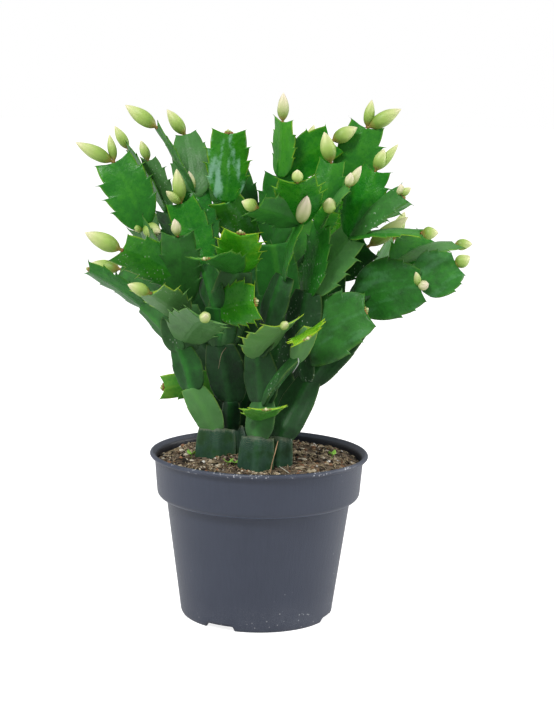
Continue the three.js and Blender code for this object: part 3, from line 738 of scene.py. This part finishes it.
def bud(segment, row):
    """A bud's skin: circles along the line from inside the segment's tip to the bud's own point. The
    radius is a thin neck plus a power of a sine that is fullest before the middle and ends sharp.
    Five furrows wind round it as they climb, where the edges of its folded petals lie."""
    _, x, z, step, diameter, pale = row
    point = seen_at(x, z, segment["tip"][1] + step)
    along = unit(point - segment["tip"])
    start = segment["tip"] - segment["along"] * SUNK
    across = unit(np.cross([0, 1, 0], along))
    off = np.cross(along, across)
    t = np.linspace(0, 1, 26)[:, None]
    angle = round_angles(20)[None]
    swell = np.clip((t - 0.1) / 0.9, 0, 1)
    body = np.sin(np.pi * np.clip(swell, 0, 0.995) ** 0.83) ** 0.78 + 0.26 * (1 - t) ** 2
    folds = 1 - 0.07 * np.abs(np.sin(2.5 * (angle - 1.6 * t) + segment["tone"] * 9)) ** 4 * t**0.3
    radius = (0.93 * diameter / 2 * body * folds)[..., None]
    middle = start + (point - start) * t[..., None]
    rings = middle + radius * (np.cos(angle)[..., None] * across + np.sin(angle)[..., None] * off)
    return skinned(rings, (t, pale, random.uniform(), (1 - folds) * 14), (angle, t), round_ends=True)


def areole(segment):
    """A bare tip's tuft: four small eggs side by side, whose radius is the root of a half circle."""
    made = []
    t = np.linspace(0.02, 0.98, 7)[:, None]
    angle = round_angles(10)[None]
    ring = np.cos(angle)[..., None] * segment["across"] + np.sin(angle)[..., None] * segment["off"]
    for step, size in ((-1.9, 0.75), (-0.5, 1.15), (0.9, 0.85), (2.0, 0.6)):
        radius = (0.95 * size * np.sqrt(1 - (2 * t - 1) ** 2))[..., None]
        start = on_segment(segment, 0.93, 0, 0) + segment["across"] * step
        middle = start + segment["along"] * (0.6 + 2.6 * size) * t[..., None]
        skin = (0.02 + 1.2 * (size - 0.5) * t**3, 0.9, 0.5, 0)
        made.append(skinned(middle + radius * ring, skin, round_ends=True))
    return made


def leaf_finish():
    """Waxy green: tone by segment with soft blotches, where the tone is partly the segment's own green
    and partly painted light and shade, set by how lit each segment looked; yellow at the rim of the
    young ones, a paler midrib and faint veins that slant forwards from it, painted highlight and shade
    across the midrib ridge of the grown and old ones, bloom on some faces, bark with scars on the
    oldest, a painted sheen in pale streaks on a few segments, and a few pale drop-shaped spots that are
    partly water marks and partly painted glints."""
    green = Finish("cactus_green", IOR=1.45, Specular_IOR_Level=0.26)
    tone, edge, share, wood = green.marks("skin")
    bloom, chance, _, gleam = green.marks("leaf")
    where = green.place()
    blotch = green.noise(where, 9, 3)
    grain = green.noise(where, 0.9, 3)
    mottle = green.noise(where, 2.6, 4, 0.6)
    streaks = green.noise(green.place(1, 1, 0.15), 1.1, 4)
    drops = green.cells(green.place(1, 1, 0.6), 1.7)
    flat = green.node("UVMap")
    ripple = green.noise(green.scaled(flat, (1, 0.22, 1)), 6, 1)
    across, along, _ = green.split(flat)
    veined = ((along - across.size() * 1.2 + blotch * 3) * (2 * math.pi / VEIN_SPACING)).sine()
    vein = green.step(veined, 0.6, 1) * (1 - green.step(edge, 0.6, 0.9)) * (1 - wood)
    midrib = 1 - green.step(across.size(), 0.2, 1.4)
    # On grown and old segments the colour is painted lighter along the midrib's crest and darker away
    # from it: painted highlight and shade on the ridge
    ridge = 1 - green.step(across.size(), 0.8, 3.2)
    youth = green.step(tone, 0.42, 0.75) * (1 - wood)
    shade = tone + (blotch - 0.5) * 0.4 + (mottle - 0.5) * 0.24 + (grain - 0.5) * 0.1
    shade = shade + vein * 0.02 + midrib * 0.03 + (ridge - 0.4) * green.step(wood, 0.05, 0.12) * 0.12
    colour = green.ramp(
        (shade + (1 - wood) * (share - 0.5) * 0.12).kept(),
        [0.0, (0.001, 0.016, 0.004)],
        [0.25, (0.003, 0.05, 0.005)],
        [0.5, (0.01, 0.15, 0.006)],
        [0.75, (0.045, 0.27, 0.007)],
        [1.0, (0.2, 0.44, 0.016)],
    )
    fringe = green.step(edge, 0.9, 1.0) * (0.12 + youth) * green.step(blotch + share * 0.3, 0.4, 0.8)
    # The bark's mix: its own streaks and mottle, plus the same painted highlight and shade across the
    # ridge
    bark_wear_and_ridge_shade = (streaks * 0.5 + mottle * 0.5 + (ridge - 0.4) * 0.35).kept()
    bark = green.mix(bark_wear_and_ridge_shade, (0.008, 0.032, 0.018), (0.05, 0.12, 0.072))
    rings = green.step(((along + blotch * 9.0 - across * across * 0.05) * 4.2).sine(), 0.7, 1.0)
    scar = green.step(wood * share, 0.5, 1.0) * rings * green.step(blotch + mottle * 0.6, 0.7, 1.0)
    scar = scar + green.step(wood * share + streaks * 0.1 + (mottle - 0.5) * 0.25, 0.96, 1.06)
    # Painted sheen: pale bluish green streaks laid into the colour where a highlight would lie, on the
    # segments given a gleam
    painted_sheen = gleam * green.step(ripple + (mottle - 0.5) * 0.3 + (grain - 0.5) * 0.1, 0.48, 0.68)
    # A few pale drop-shaped spots on some segments: partly water marks, partly painted glints
    water_and_glint_spots = green.step(blotch + chance * 0.3, 0.74, 0.84) * green.step(chance, 0.78, 0.8)
    marks = (1 - green.step(drops, 0.1, 0.26)) * water_and_glint_spots
    colour = green.coated(
        colour,
        [(bloom * (0.5 + blotch * 0.7)).kept(), (0.12, 0.26, 0.09)],
        [(fringe * 0.85).kept(), (0.34, 0.5, 0.02)],
        [wood * green.step(blotch, 0.3, 0.6), bark],
        [scar.kept() * 0.3, (0.25, 0.25, 0.17)],
        # the painted sheen
        [painted_sheen * 0.66, (0.3, 0.56, 0.42)],
        [marks * 0.5, (0.5, 0.6, 0.48)],
    )
    rough = 0.16 + grain * 0.1 + mottle * 0.14 + marks * 0.2 + bloom * 0.2
    rough = rough + green.step(wood, 0.02, 0.12) * 0.2
    height = grain * 0.12 + blotch * 0.6 + ripple * 0.5
    height = height + vein * 0.02 - midrib * 0.1 + streaks * wood * 0.3
    return green.feed(Base_Color=colour, Roughness=rough).relief(height, 0.9)


def bud_finish():
    """A bud's skin: reddish brown where it starts, green, then cream or pinkish white at its point,
    darker in the furrows between its folded petals."""
    petal = Finish("bud_cream", IOR=1.4)
    share, pale, _, furrow = petal.marks("skin")
    where = petal.place()
    fine = petal.noise(where, 0.8, 3)
    climb = (share + (petal.noise(where, 3, 2) - 0.5) * 0.16).kept()
    young = petal.ramp(
        climb,
        [0.0, (0.22, 0.08, 0.025)],
        [0.13, (0.24, 0.2, 0.04)],
        [0.27, (0.16, 0.29, 0.035)],
        [0.52, (0.32, 0.47, 0.1)],
        [0.78, (0.55, 0.62, 0.25)],
        [1.0, (0.76, 0.7, 0.46)],
    )
    white = petal.ramp(
        climb,
        [0.0, (0.24, 0.09, 0.03)],
        [0.14, (0.3, 0.22, 0.06)],
        [0.28, (0.26, 0.36, 0.09)],
        [0.55, (0.6, 0.58, 0.34)],
        [1.0, (0.86, 0.7, 0.62)],
    )
    colour = petal.coated(
        petal.mix(pale, young, white),
        [furrow.kept() * 0.35, (0.3, 0.4, 0.1)],
        [petal.step(fine, 0.62, 0.75) * 0.15, (0.5, 0.45, 0.2)],
    )
    return petal.feed(Base_Color=colour, Roughness=0.34 + fine * 0.2).relief(fine, 0.12)


def pot_finish():
    """Moulded plastic, blue grey: fine grain, faint upright streaks, dust that lies on the lip and the
    foot, crumbs stuck to the front of the lip, a painted highlight in a thin line under the band, and
    painted shade that darkens the upper part of the inner wall."""
    plastic = Finish("pot_plastic", IOR=1.46)
    where = plastic.place()
    _, depth, height = plastic.split(where)
    grain = plastic.noise(where, 0.5, 3)
    cloud = plastic.noise(where, 22, 3)
    streak = plastic.noise(plastic.place(1, 1, 0.04), 1.6, 3)
    low = 1 - plastic.step(height, 2, 22)
    lip = plastic.step(height, LIP_Z - 1, POT_HEIGHT)
    speck = 1 - plastic.step(plastic.cells(where, 3.1), 0.06, 0.18)
    speck = speck * plastic.step(cloud + low * 0.2, 0.62, 0.7)
    crust = 1 - plastic.step(plastic.cells(where, 1.5), 0.26, 0.34)
    crust = crust * plastic.step(plastic.noise(where, 11, 2), 0.46, 0.52)
    crust = crust * lip * plastic.step(depth, -46, -58)
    # Painted highlight: a thin pale blue line just under the foot of the band
    painted_highlight_line = plastic.step(height, BODY_TOP_Z + 0.3, BODY_TOP_Z + 1.0)
    painted_highlight_line = painted_highlight_line * (1 - plastic.step(height, BODY_TOP_Z + 1.3, BODY_TOP_Z + 2.4))
    # Painted shade: the upper part of the inner wall is darkened almost to black
    from_axis = plastic.node("VectorMath", {"operation": "SUBTRACT"}, _0=where, _1=tuple(AXIS))
    level = plastic.scaled(from_axis, (1, 1, 0))
    radius = plastic.node("VectorMath", {"operation": "LENGTH"}, 1, _0=level)
    flare = (BAND_TOP_RADIUS - BAND_FOOT_RADIUS) / (LIP_Z - BAND_FOOT_Z)
    inside = plastic.step(BAND_FOOT_RADIUS + (height - BAND_FOOT_Z) * flare - radius, 0.4, 0.9)
    inside = inside * plastic.step(height, 80, 84)
    worn = (low * 0.5 + lip * 0.5) * plastic.step(grain + cloud * 0.6, 0.72, 1.0)
    shade = (streak * 0.45 + cloud * 0.4 + grain * 0.15).kept()
    colour = plastic.coated(
        plastic.mix(shade, (0.029, 0.036, 0.058), (0.05, 0.06, 0.09)),
        [worn * 0.4, (0.22, 0.23, 0.26)],
        [speck * 0.6, (0.5, 0.5, 0.52)],
        [painted_highlight_line * 0.4, (0.13, 0.16, 0.23)],
        [inside * 0.9, (0.006, 0.008, 0.014)],
        [crust * 0.8, (0.6, 0.62, 0.66)],
    )
    rough = 0.26 + grain * 0.16 + worn * 0.3 + streak * 0.1
    return plastic.feed(Base_Color=colour, Roughness=rough).relief(grain * 0.6 + streak * 0.4, 0.16)


def soil_finish():
    """Damp peat: dark and light crumbs of several sizes, with reddish bark."""
    peat = Finish("soil_peat", IOR=1.3)
    where = peat.place()
    coarse = peat.noise(where, 5, 5, 0.65)
    fine = peat.noise(where, 0.8, 4, 0.7)
    chips = peat.cells(where, 2.2)
    colour = peat.ramp(
        (coarse * 0.6 + fine * 0.5).kept(),
        [0.34, (0.014, 0.011, 0.008)],
        [0.5, (0.075, 0.057, 0.04)],
        [0.62, (0.24, 0.18, 0.125)],
        [0.78, (0.5, 0.42, 0.3)],
    )
    red = (1 - peat.step(chips, 0.15, 0.35)) * peat.step(coarse, 0.52, 0.62)
    colour = peat.mix(red * 0.6, colour, (0.14, 0.05, 0.022))
    return peat.feed(Base_Color=colour, Roughness=0.75 + fine * 0.25).relief(fine + chips * 0.5, 1.2)


def litter_finish():
    """Crumbs and fibres, each in a colour of its own, mottled."""
    bits = Finish("soil_litter", IOR=1.3)
    own = bits.node("Attribute", {"attribute_name": "skin"}, "Color")
    fine = bits.noise(bits.place(), 0.6, 3)
    colour = bits.mix(fine * 0.45, own, (0.03, 0.02, 0.012))
    return bits.feed(Base_Color=colour, Roughness=0.7 + fine * 0.3).relief(fine, 0.4)


def sprout_finish():
    """Tender light green of the seedlings."""
    sprout = Finish("sprout_green", IOR=1.4)
    fine = sprout.noise(sprout.place(), 1.2, 3)
    colour = sprout.mix(fine, (0.12, 0.34, 0.03), (0.3, 0.55, 0.08))
    return sprout.feed(Base_Color=colour, Roughness=0.35 + fine * 0.2).relief(fine, 0.2)


def turned(profile, sides):
    """Rings of [radius, height] pairs turned about the pot's axis."""
    angle = round_angles(sides)
    radius, height = np.array(profile, float).T[..., None]
    return np.stack([radius * np.sin(angle), -radius * np.cos(angle), height + 0 * angle], -1)


def softened(profile, corner, steps=4):
    """A profile whose corners become short arcs: each corner gives way to a curve that starts and
    ends at most that far from it, worked out as the two nearest sides weighted by a parabola."""
    points = np.array(profile, float)
    made = [points[:1]]
    for before, here, after in zip(points[:-2], points[1:-1], points[2:]):
        back, on = before - here, after - here
        reach = min(corner, 0.4 * np.linalg.norm(back), 0.4 * np.linalg.norm(on))
        start, end = here + unit(back) * reach, here + unit(on) * reach
        t = np.linspace(0, 1, steps)[:, None]
        made.append((1 - t) ** 2 * start + 2 * t * (1 - t) * here + t**2 * end)
    made.append(points[-1:])
    return np.concatenate(made)


def pot_shape():
    """The pot's profile turned about its axis. Its foot is lifted to the gaps' height over each gap,
    by a step that is 1 inside the gap's span and falls off over a degree or two."""
    profile = [
        [POLE, FLOOR_Z],
        [FOOT_RADIUS - FOOT_WIDTH - 0.8, FLOOR_Z],
        [FOOT_RADIUS - FOOT_WIDTH, 0],
        [FOOT_RADIUS - 0.6, 0],
        [FOOT_RADIUS + 0.4, 2],
        [BODY_FOOT_RADIUS, BODY_FOOT_Z],
        [(BODY_FOOT_RADIUS + BODY_TOP_RADIUS) / 2, (BODY_FOOT_Z + BODY_TOP_Z) / 2],
        [BODY_TOP_RADIUS, BODY_TOP_Z],
        [BAND_FOOT_RADIUS - 1.8, BODY_TOP_Z + 1.2],
        [BAND_FOOT_RADIUS - 0.3, BODY_TOP_Z + 2.9],
        [BAND_FOOT_RADIUS, BAND_FOOT_Z],
        [(BAND_FOOT_RADIUS + BAND_TOP_RADIUS) / 2, (BAND_FOOT_Z + LIP_Z) / 2],
        [BAND_TOP_RADIUS, LIP_Z],
        [LIP_RADIUS - 0.7, LIP_Z + 0.3],
        [LIP_RADIUS, LIP_Z + 1.5],
        [LIP_RADIUS - 0.7, POT_HEIGHT - 0.3],
        [LIP_RADIUS - 1.8, POT_HEIGHT],
        [BAND_TOP_RADIUS - WALL, LIP_Z],
        [BAND_FOOT_RADIUS - WALL, BAND_FOOT_Z + 0.4],
        [BODY_TOP_RADIUS - WALL, BODY_TOP_Z + 1.8],
        [BODY_FOOT_RADIUS - WALL, BODY_FOOT_Z + 2.4],
        [BODY_FOOT_RADIUS - WALL - 1.6, FLOOR_Z + FLOOR_THICKNESS],
        [POLE, FLOOR_Z + FLOOR_THICKNESS],
    ]
    rings = turned(softened(profile, 0.9), POT_SIDES)
    angle = np.degrees(np.arctan2(rings[..., 0], -rings[..., 1]))
    nearest = np.min([np.abs((angle - gap + 180) % 360 - 180) for gap in FOOT_GAP_ANGLES], 0)
    open_share = np.clip((FOOT_GAP_SPAN / 2 - nearest) / 1.2 + 0.5, 0, 1)
    low = np.hypot(rings[..., 0], rings[..., 1]) > FOOT_RADIUS - FOOT_WIDTH - 1
    lifted = np.maximum(rings[..., 2], FOOT_GAP_HEIGHT)
    rings[..., 2] = np.where(low, rings[..., 2] + (lifted - rings[..., 2]) * open_share, rings[..., 2])
    return skinned(rings, round_ends=True)


def drilled(pot):
    """Cuts the drainage holes through the pot's floor and keeps the result."""
    bpy.ops.object.select_all(action="DESELECT")
    for hole in range(DRAIN_HOLES):
        angle = 2 * math.pi * (hole + 0.5) / DRAIN_HOLES
        x, y = (np.array([math.cos(angle), math.sin(angle)]) * DRAIN_RING_RADIUS + AXIS[:2]) * MM
        bpy.ops.mesh.primitive_cylinder_add(
            vertices=32, radius=DRAIN_HOLE_RADIUS * MM, depth=12 * MM, location=(x, y, FLOOR_Z * MM)
        )
        cutter = bpy.context.object
        cut = pot.modifiers.new("hole", "BOOLEAN")
        cut.object = cutter
        bpy.context.view_layer.objects.active = pot
        bpy.ops.object.modifier_apply(modifier="hole")
        bpy.data.objects.remove(cutter)


def soil_height(x, y):
    """A low mound, the solid's own lumps, and finer lumps as sines of unlike lengths and headings,
    which all fade out towards the pot's wall, where the soil has sunk by a bell across the radius."""
    share = np.hypot(x, y) / BAND_TOP_RADIUS
    fade = np.clip(6 * (1 - share), 0, 1)
    lumps = 0.7 * (np.sin(x / 5.1 + 1) * np.cos(y / 4.3) + np.sin((x + 2 * y) / 9.7))
    for length, deep, way, first, second in WAVES:
        along = (x * math.cos(way) + y * math.sin(way)) / length
        across = (y * math.cos(way) - x * math.sin(way)) / length
        lumps = lumps + deep * np.sin(along + first) * np.sin(across + second)
    sunk = SOIL_SUNK * np.exp(-(((1 - share) * 9) ** 2))
    return SOIL_RIM_Z - sunk + SOIL_MOUND * (1 - share**2) + lumps * fade


def soil_shape():
    """A plug with straight sides under a top of rings whose height is the soil's."""
    inner = WALL + 0.3
    below = [
        [POLE, FLOOR_Z + FLOOR_THICKNESS + 0.3],
        [BODY_FOOT_RADIUS - inner - 2, FLOOR_Z + FLOOR_THICKNESS + 0.3],
        [BODY_FOOT_RADIUS - inner - 0.2, BODY_FOOT_Z + 2.8],
        [BODY_TOP_RADIUS - inner - 0.2, BODY_TOP_Z + 2.6],
        [BAND_FOOT_RADIUS - inner - 1, BAND_FOOT_Z],
        [SOIL_RADIUS - 0.1, SOIL_RIM_Z - 2],
    ]
    top = [[radius, SOIL_RIM_Z] for radius in np.linspace(SOIL_RADIUS, POLE, 120)]
    rings = turned(below + top, SOIL_SIDES)
    rings[len(below) :, :, 2] = soil_height(rings[len(below) :, :, 0], rings[len(below) :, :, 1])
    return skinned(rings, round_ends=True)


def litter_colour():
    picked = random.choice(len(LITTER), p=[often for _, often in LITTER])
    return [*np.array(LITTER[picked][0]) * random.uniform(0.8, 1.25), 1]


def crumb(reach):
    """A lump: three rings of six points on an egg, each point pushed in or out at random."""
    t = np.linspace(0.12, 0.88, 3)[:, None]
    angle = round_angles(6)[None]
    radius = np.sin(np.pi * t) * random.uniform(0.75, 1.2, (3, 6))
    size = random.uniform(0.5, 1.0) ** 3 * CRUMB_HALF * random.uniform(0.5, 1.6, 3) * [1, 1, 0.6]
    height = -np.cos(np.pi * t) * np.ones((1, 6))
    ball = np.stack([radius * np.cos(angle), radius * np.sin(angle), height], -1)
    way = random.uniform(0, 2 * np.pi)
    far = reach * math.sqrt(random.uniform())
    x, y = far * math.cos(way), far * math.sin(way)
    middle = np.array([x, y, soil_height(x, y) + 0.25 * size[2]])
    return skinned(middle + ball * size, litter_colour(), round_ends=True)


def strand(points, thick, colour):
    """A flat four-sided fibre round a path, wide along the ground and thin upwards."""
    along = np.gradient(points, axis=0)
    across = np.cross(along, [0, 0, 1.0])
    across = across / np.linalg.norm(across, axis=1)[:, None]
    off = np.cross(along, across)
    off = off / np.linalg.norm(off, axis=1)[:, None]
    taper = np.sin(np.pi * np.linspace(0.15, 0.9, len(points)))[:, None] ** 0.5
    wide, deep = across * thick * taper, off * thick * 0.45 * taper
    rings = np.stack([points + wide, points + deep, points - wide, points - deep], 1)
    return skinned(rings, (*colour, 1))


def fibre(reach):
    """A straw or a shred of bark: a gently bent line that lies on the soil."""
    way, head = random.uniform(0, 2 * np.pi), random.uniform(0, np.pi)
    far = reach * math.sqrt(random.uniform())
    length = random.uniform(2, 5) + 9 * random.uniform() ** 4
    t = np.linspace(-0.5, 0.5, 6)
    bend = random.uniform(-0.25, 0.25)
    x = far * math.cos(way) + length * (t * math.cos(head) - bend * t**2 * math.sin(head))
    y = far * math.sin(way) + length * (t * math.sin(head) + bend * t**2 * math.cos(head))
    z = soil_height(x, y) + 0.5 + random.uniform(0, 1.2) * (0.25 - t**2) * 4
    pale = random.uniform()
    colour = STRAW * pale + BARK * (1 - pale)
    return strand(np.stack([x, y, z], -1), random.uniform(0.2, 0.42), colour)


def thread(points, thick, colour):
    """A fine thread through given points, smoothed by a curve through every four of them."""
    points = np.array(points, float)
    padded = np.concatenate([2 * points[:1] - points[1:2], points, 2 * points[-1:] - points[-2:-1]])
    t = np.linspace(0, 1, 8, endpoint=False)[:, None]
    runs = []
    for a, b, c, d in zip(padded, padded[1:], padded[2:], padded[3:]):
        bend, twist = a - 2.5 * b + 2 * c - d / 2, 1.5 * (b - c) + (d - a) / 2
        runs.append(b + t * (c - a) / 2 + t**2 * bend + t**3 * twist)
    return strand(np.concatenate([*runs, points[-1:]]), thick, colour)


def seed_leaf(top, along, across, length, width):
    """A seedling's leaf: a small blade that swells as a sine from base to tip, cups upwards by the
    square of the share across, and droops by the square of the share along."""
    t = np.linspace(0, 1, 12)[:, None]
    angle = round_angles(12)[None]
    half = width / 2 * np.sin(np.pi * (0.06 + 0.92 * t)) ** 0.8
    off = np.cross(along, across)
    v = np.cos(angle)
    lift = 0.3 * half * v**2 + 0.2 * np.sin(angle) - 0.18 * length * t**2
    rings = top + along * length * t[..., None] + across * (half * v)[..., None] + off * lift[..., None]
    return skinned(rings)


def seedling(x, y, tall, heading):
    """A thread of a stem with two leaves held out from its top."""
    foot = soil_height(x, y)
    top = np.array([x + 0.4, y, foot + tall])
    stem = np.array([[x, y, foot - 1], [x + 0.2, y, foot + tall / 2], top])
    made = [strand(stem, 0.35, (0.2, 0.45, 0.05))]
    for way in (heading, heading + 170):
        along = unit(np.array([math.cos(math.radians(way)), math.sin(math.radians(way)), 0.55]))
        across = unit(np.cross(along, [0, 0, 1]))
        made.append(seed_leaf(top, along, across, *SEED_LEAF))
    return made


def camera():
    """Looks along +Y, tilted down and rolled as the eye is."""
    turn = Matrix.Rotation(math.radians(90 - EYE_PITCH), 4, "X")
    turn = turn @ Matrix.Rotation(math.radians(EYE_ROLL), 4, "Z")
    data = bpy.data.cameras.new("eye")
    data.sensor_width = SENSOR_WIDTH
    data.lens = LENS
    data.clip_end = 30
    made = bpy.data.objects.new("eye", data)
    made.matrix_world = Matrix.Translation(Vector((EYE + AXIS) * MM)) @ turn
    bpy.context.scene.collection.objects.link(made)
    bpy.context.scene.camera = made


def lamp(name, place, aim, size, power, mirrored=True):
    """A soft square light, in metres and watts, that looks at a point. It may be kept out of the
    mirror images."""
    data = bpy.data.lights.new(name, "AREA")
    data.size = size
    data.energy = power
    made = bpy.data.objects.new(name, data)
    made.visible_glossy = mirrored
    made.location = place
    made.rotation_euler = (Vector(aim) - Vector(place)).to_track_quat("-Z", "Y").to_euler()
    bpy.context.scene.collection.objects.link(made)


def studio():
    """A wide pale floor, a white sky that lights the part more from above, and five soft lights."""
    floor = Finish("studio_floor", Roughness=0.9, Emission_Strength=0.85)
    cloud = floor.noise(floor.place(), 60, 3)
    seen = floor.node("LightPath")
    floor.feed(
        Base_Color=floor.mix(cloud, (0.5, 0.5, 0.5), (0.52, 0.52, 0.52)),
        Emission_Color=floor.mix(seen, (0.3, 0.3, 0.3), (1.0, 1.0, 1.0)),
    )
    mesh = bpy.data.meshes.new("studio_floor")
    corners = [(x * FLOOR_HALF, y * FLOOR_HALF, 0) for x, y in ((-1, -1), (1, -1), (1, 1), (-1, 1))]
    mesh.from_pydata(corners, [], [(0, 1, 2, 3)])
    standing("studio_floor", mesh, floor)
    world = bpy.data.worlds.new("sky")
    world.use_nodes = True
    sky = Nodes(world.node_tree)
    climb = sky.node("SeparateXYZ", output=2, Vector=sky.node("TexCoord", output="Generated"))
    dim = sky.node("MapRange", Value=climb, From_Min=-0.2, To_Min=0.24, To_Max=0.7)
    glow = sky.node("MapRange", Value=sky.node("LightPath"), To_Min=dim)
    sky.fill(sky.tree.nodes["Background"], {"Color": (1, 1, 1, 1), "Strength": glow})
    bpy.context.scene.world = world
    lamp("key", (-0.5, -0.9, 1.2), (0, 0, 0.16), 0.32, 13)
    lamp("fill", (0.95, -0.8, 0.7), (0, 0, 0.16), 0.9, 3)
    lamp("back", (0.3, 1.1, 1.0), (0, 0, 0.2), 0.8, 3, False)
    lamp("left", (-1.1, 0.1, 0.4), (0, 0, 0.12), 0.7, 4, False)
    lamp("right", (1.1, 0.1, 0.4), (0, 0, 0.12), 0.7, 6.5)
    bpy.context.scene.view_settings.view_transform = "Standard"


camera()
studio()

leaf_look, bud_look = leaf_finish(), bud_finish()
for name, rows in SEGMENTS.items():
    grown = {}
    for row in rows:
        grown[row[0]] = placed(row, ROOTS[name], grown)
    first = grown[rows[0][0]]
    leaves = [collar(first, ROOTS[name]), *[blade(segment) for segment in grown.values()]]
    piece(name + "_leaves", joined(leaves), leaf_look, "leaf_green", name)
    taken = {row[1] for row in rows} | {row[0] for row in BUDS[name]}
    tufts = [egg for key in grown if key not in taken for egg in areole(grown[key])]
    buds = [bud(grown[row[0]], row) for row in BUDS[name]]
    piece(name + "_buds", joined(buds + tufts), bud_look, "leaf_green", name)

pot = piece("pot_shell", pot_shape(), pot_finish(), "pot_plastic", "pot")
drilled(pot)
piece("soil_plug", soil_shape(), soil_finish(), "peat", "soil")
bits = [crumb(SOIL_RADIUS - 1) for _ in range(CRUMBS)]
bits += [fibre(SOIL_RADIUS - 5) for _ in range(FIBRES)]
bits += [thread(*row) for row in THREADS]
piece("soil_litter", joined(bits), litter_finish(), "peat", smooth=False)
sprouts = [bit for row in SEEDLINGS for bit in seedling(*row)]
piece("seedlings", joined(sprouts), sprout_finish(), "leaf_green")
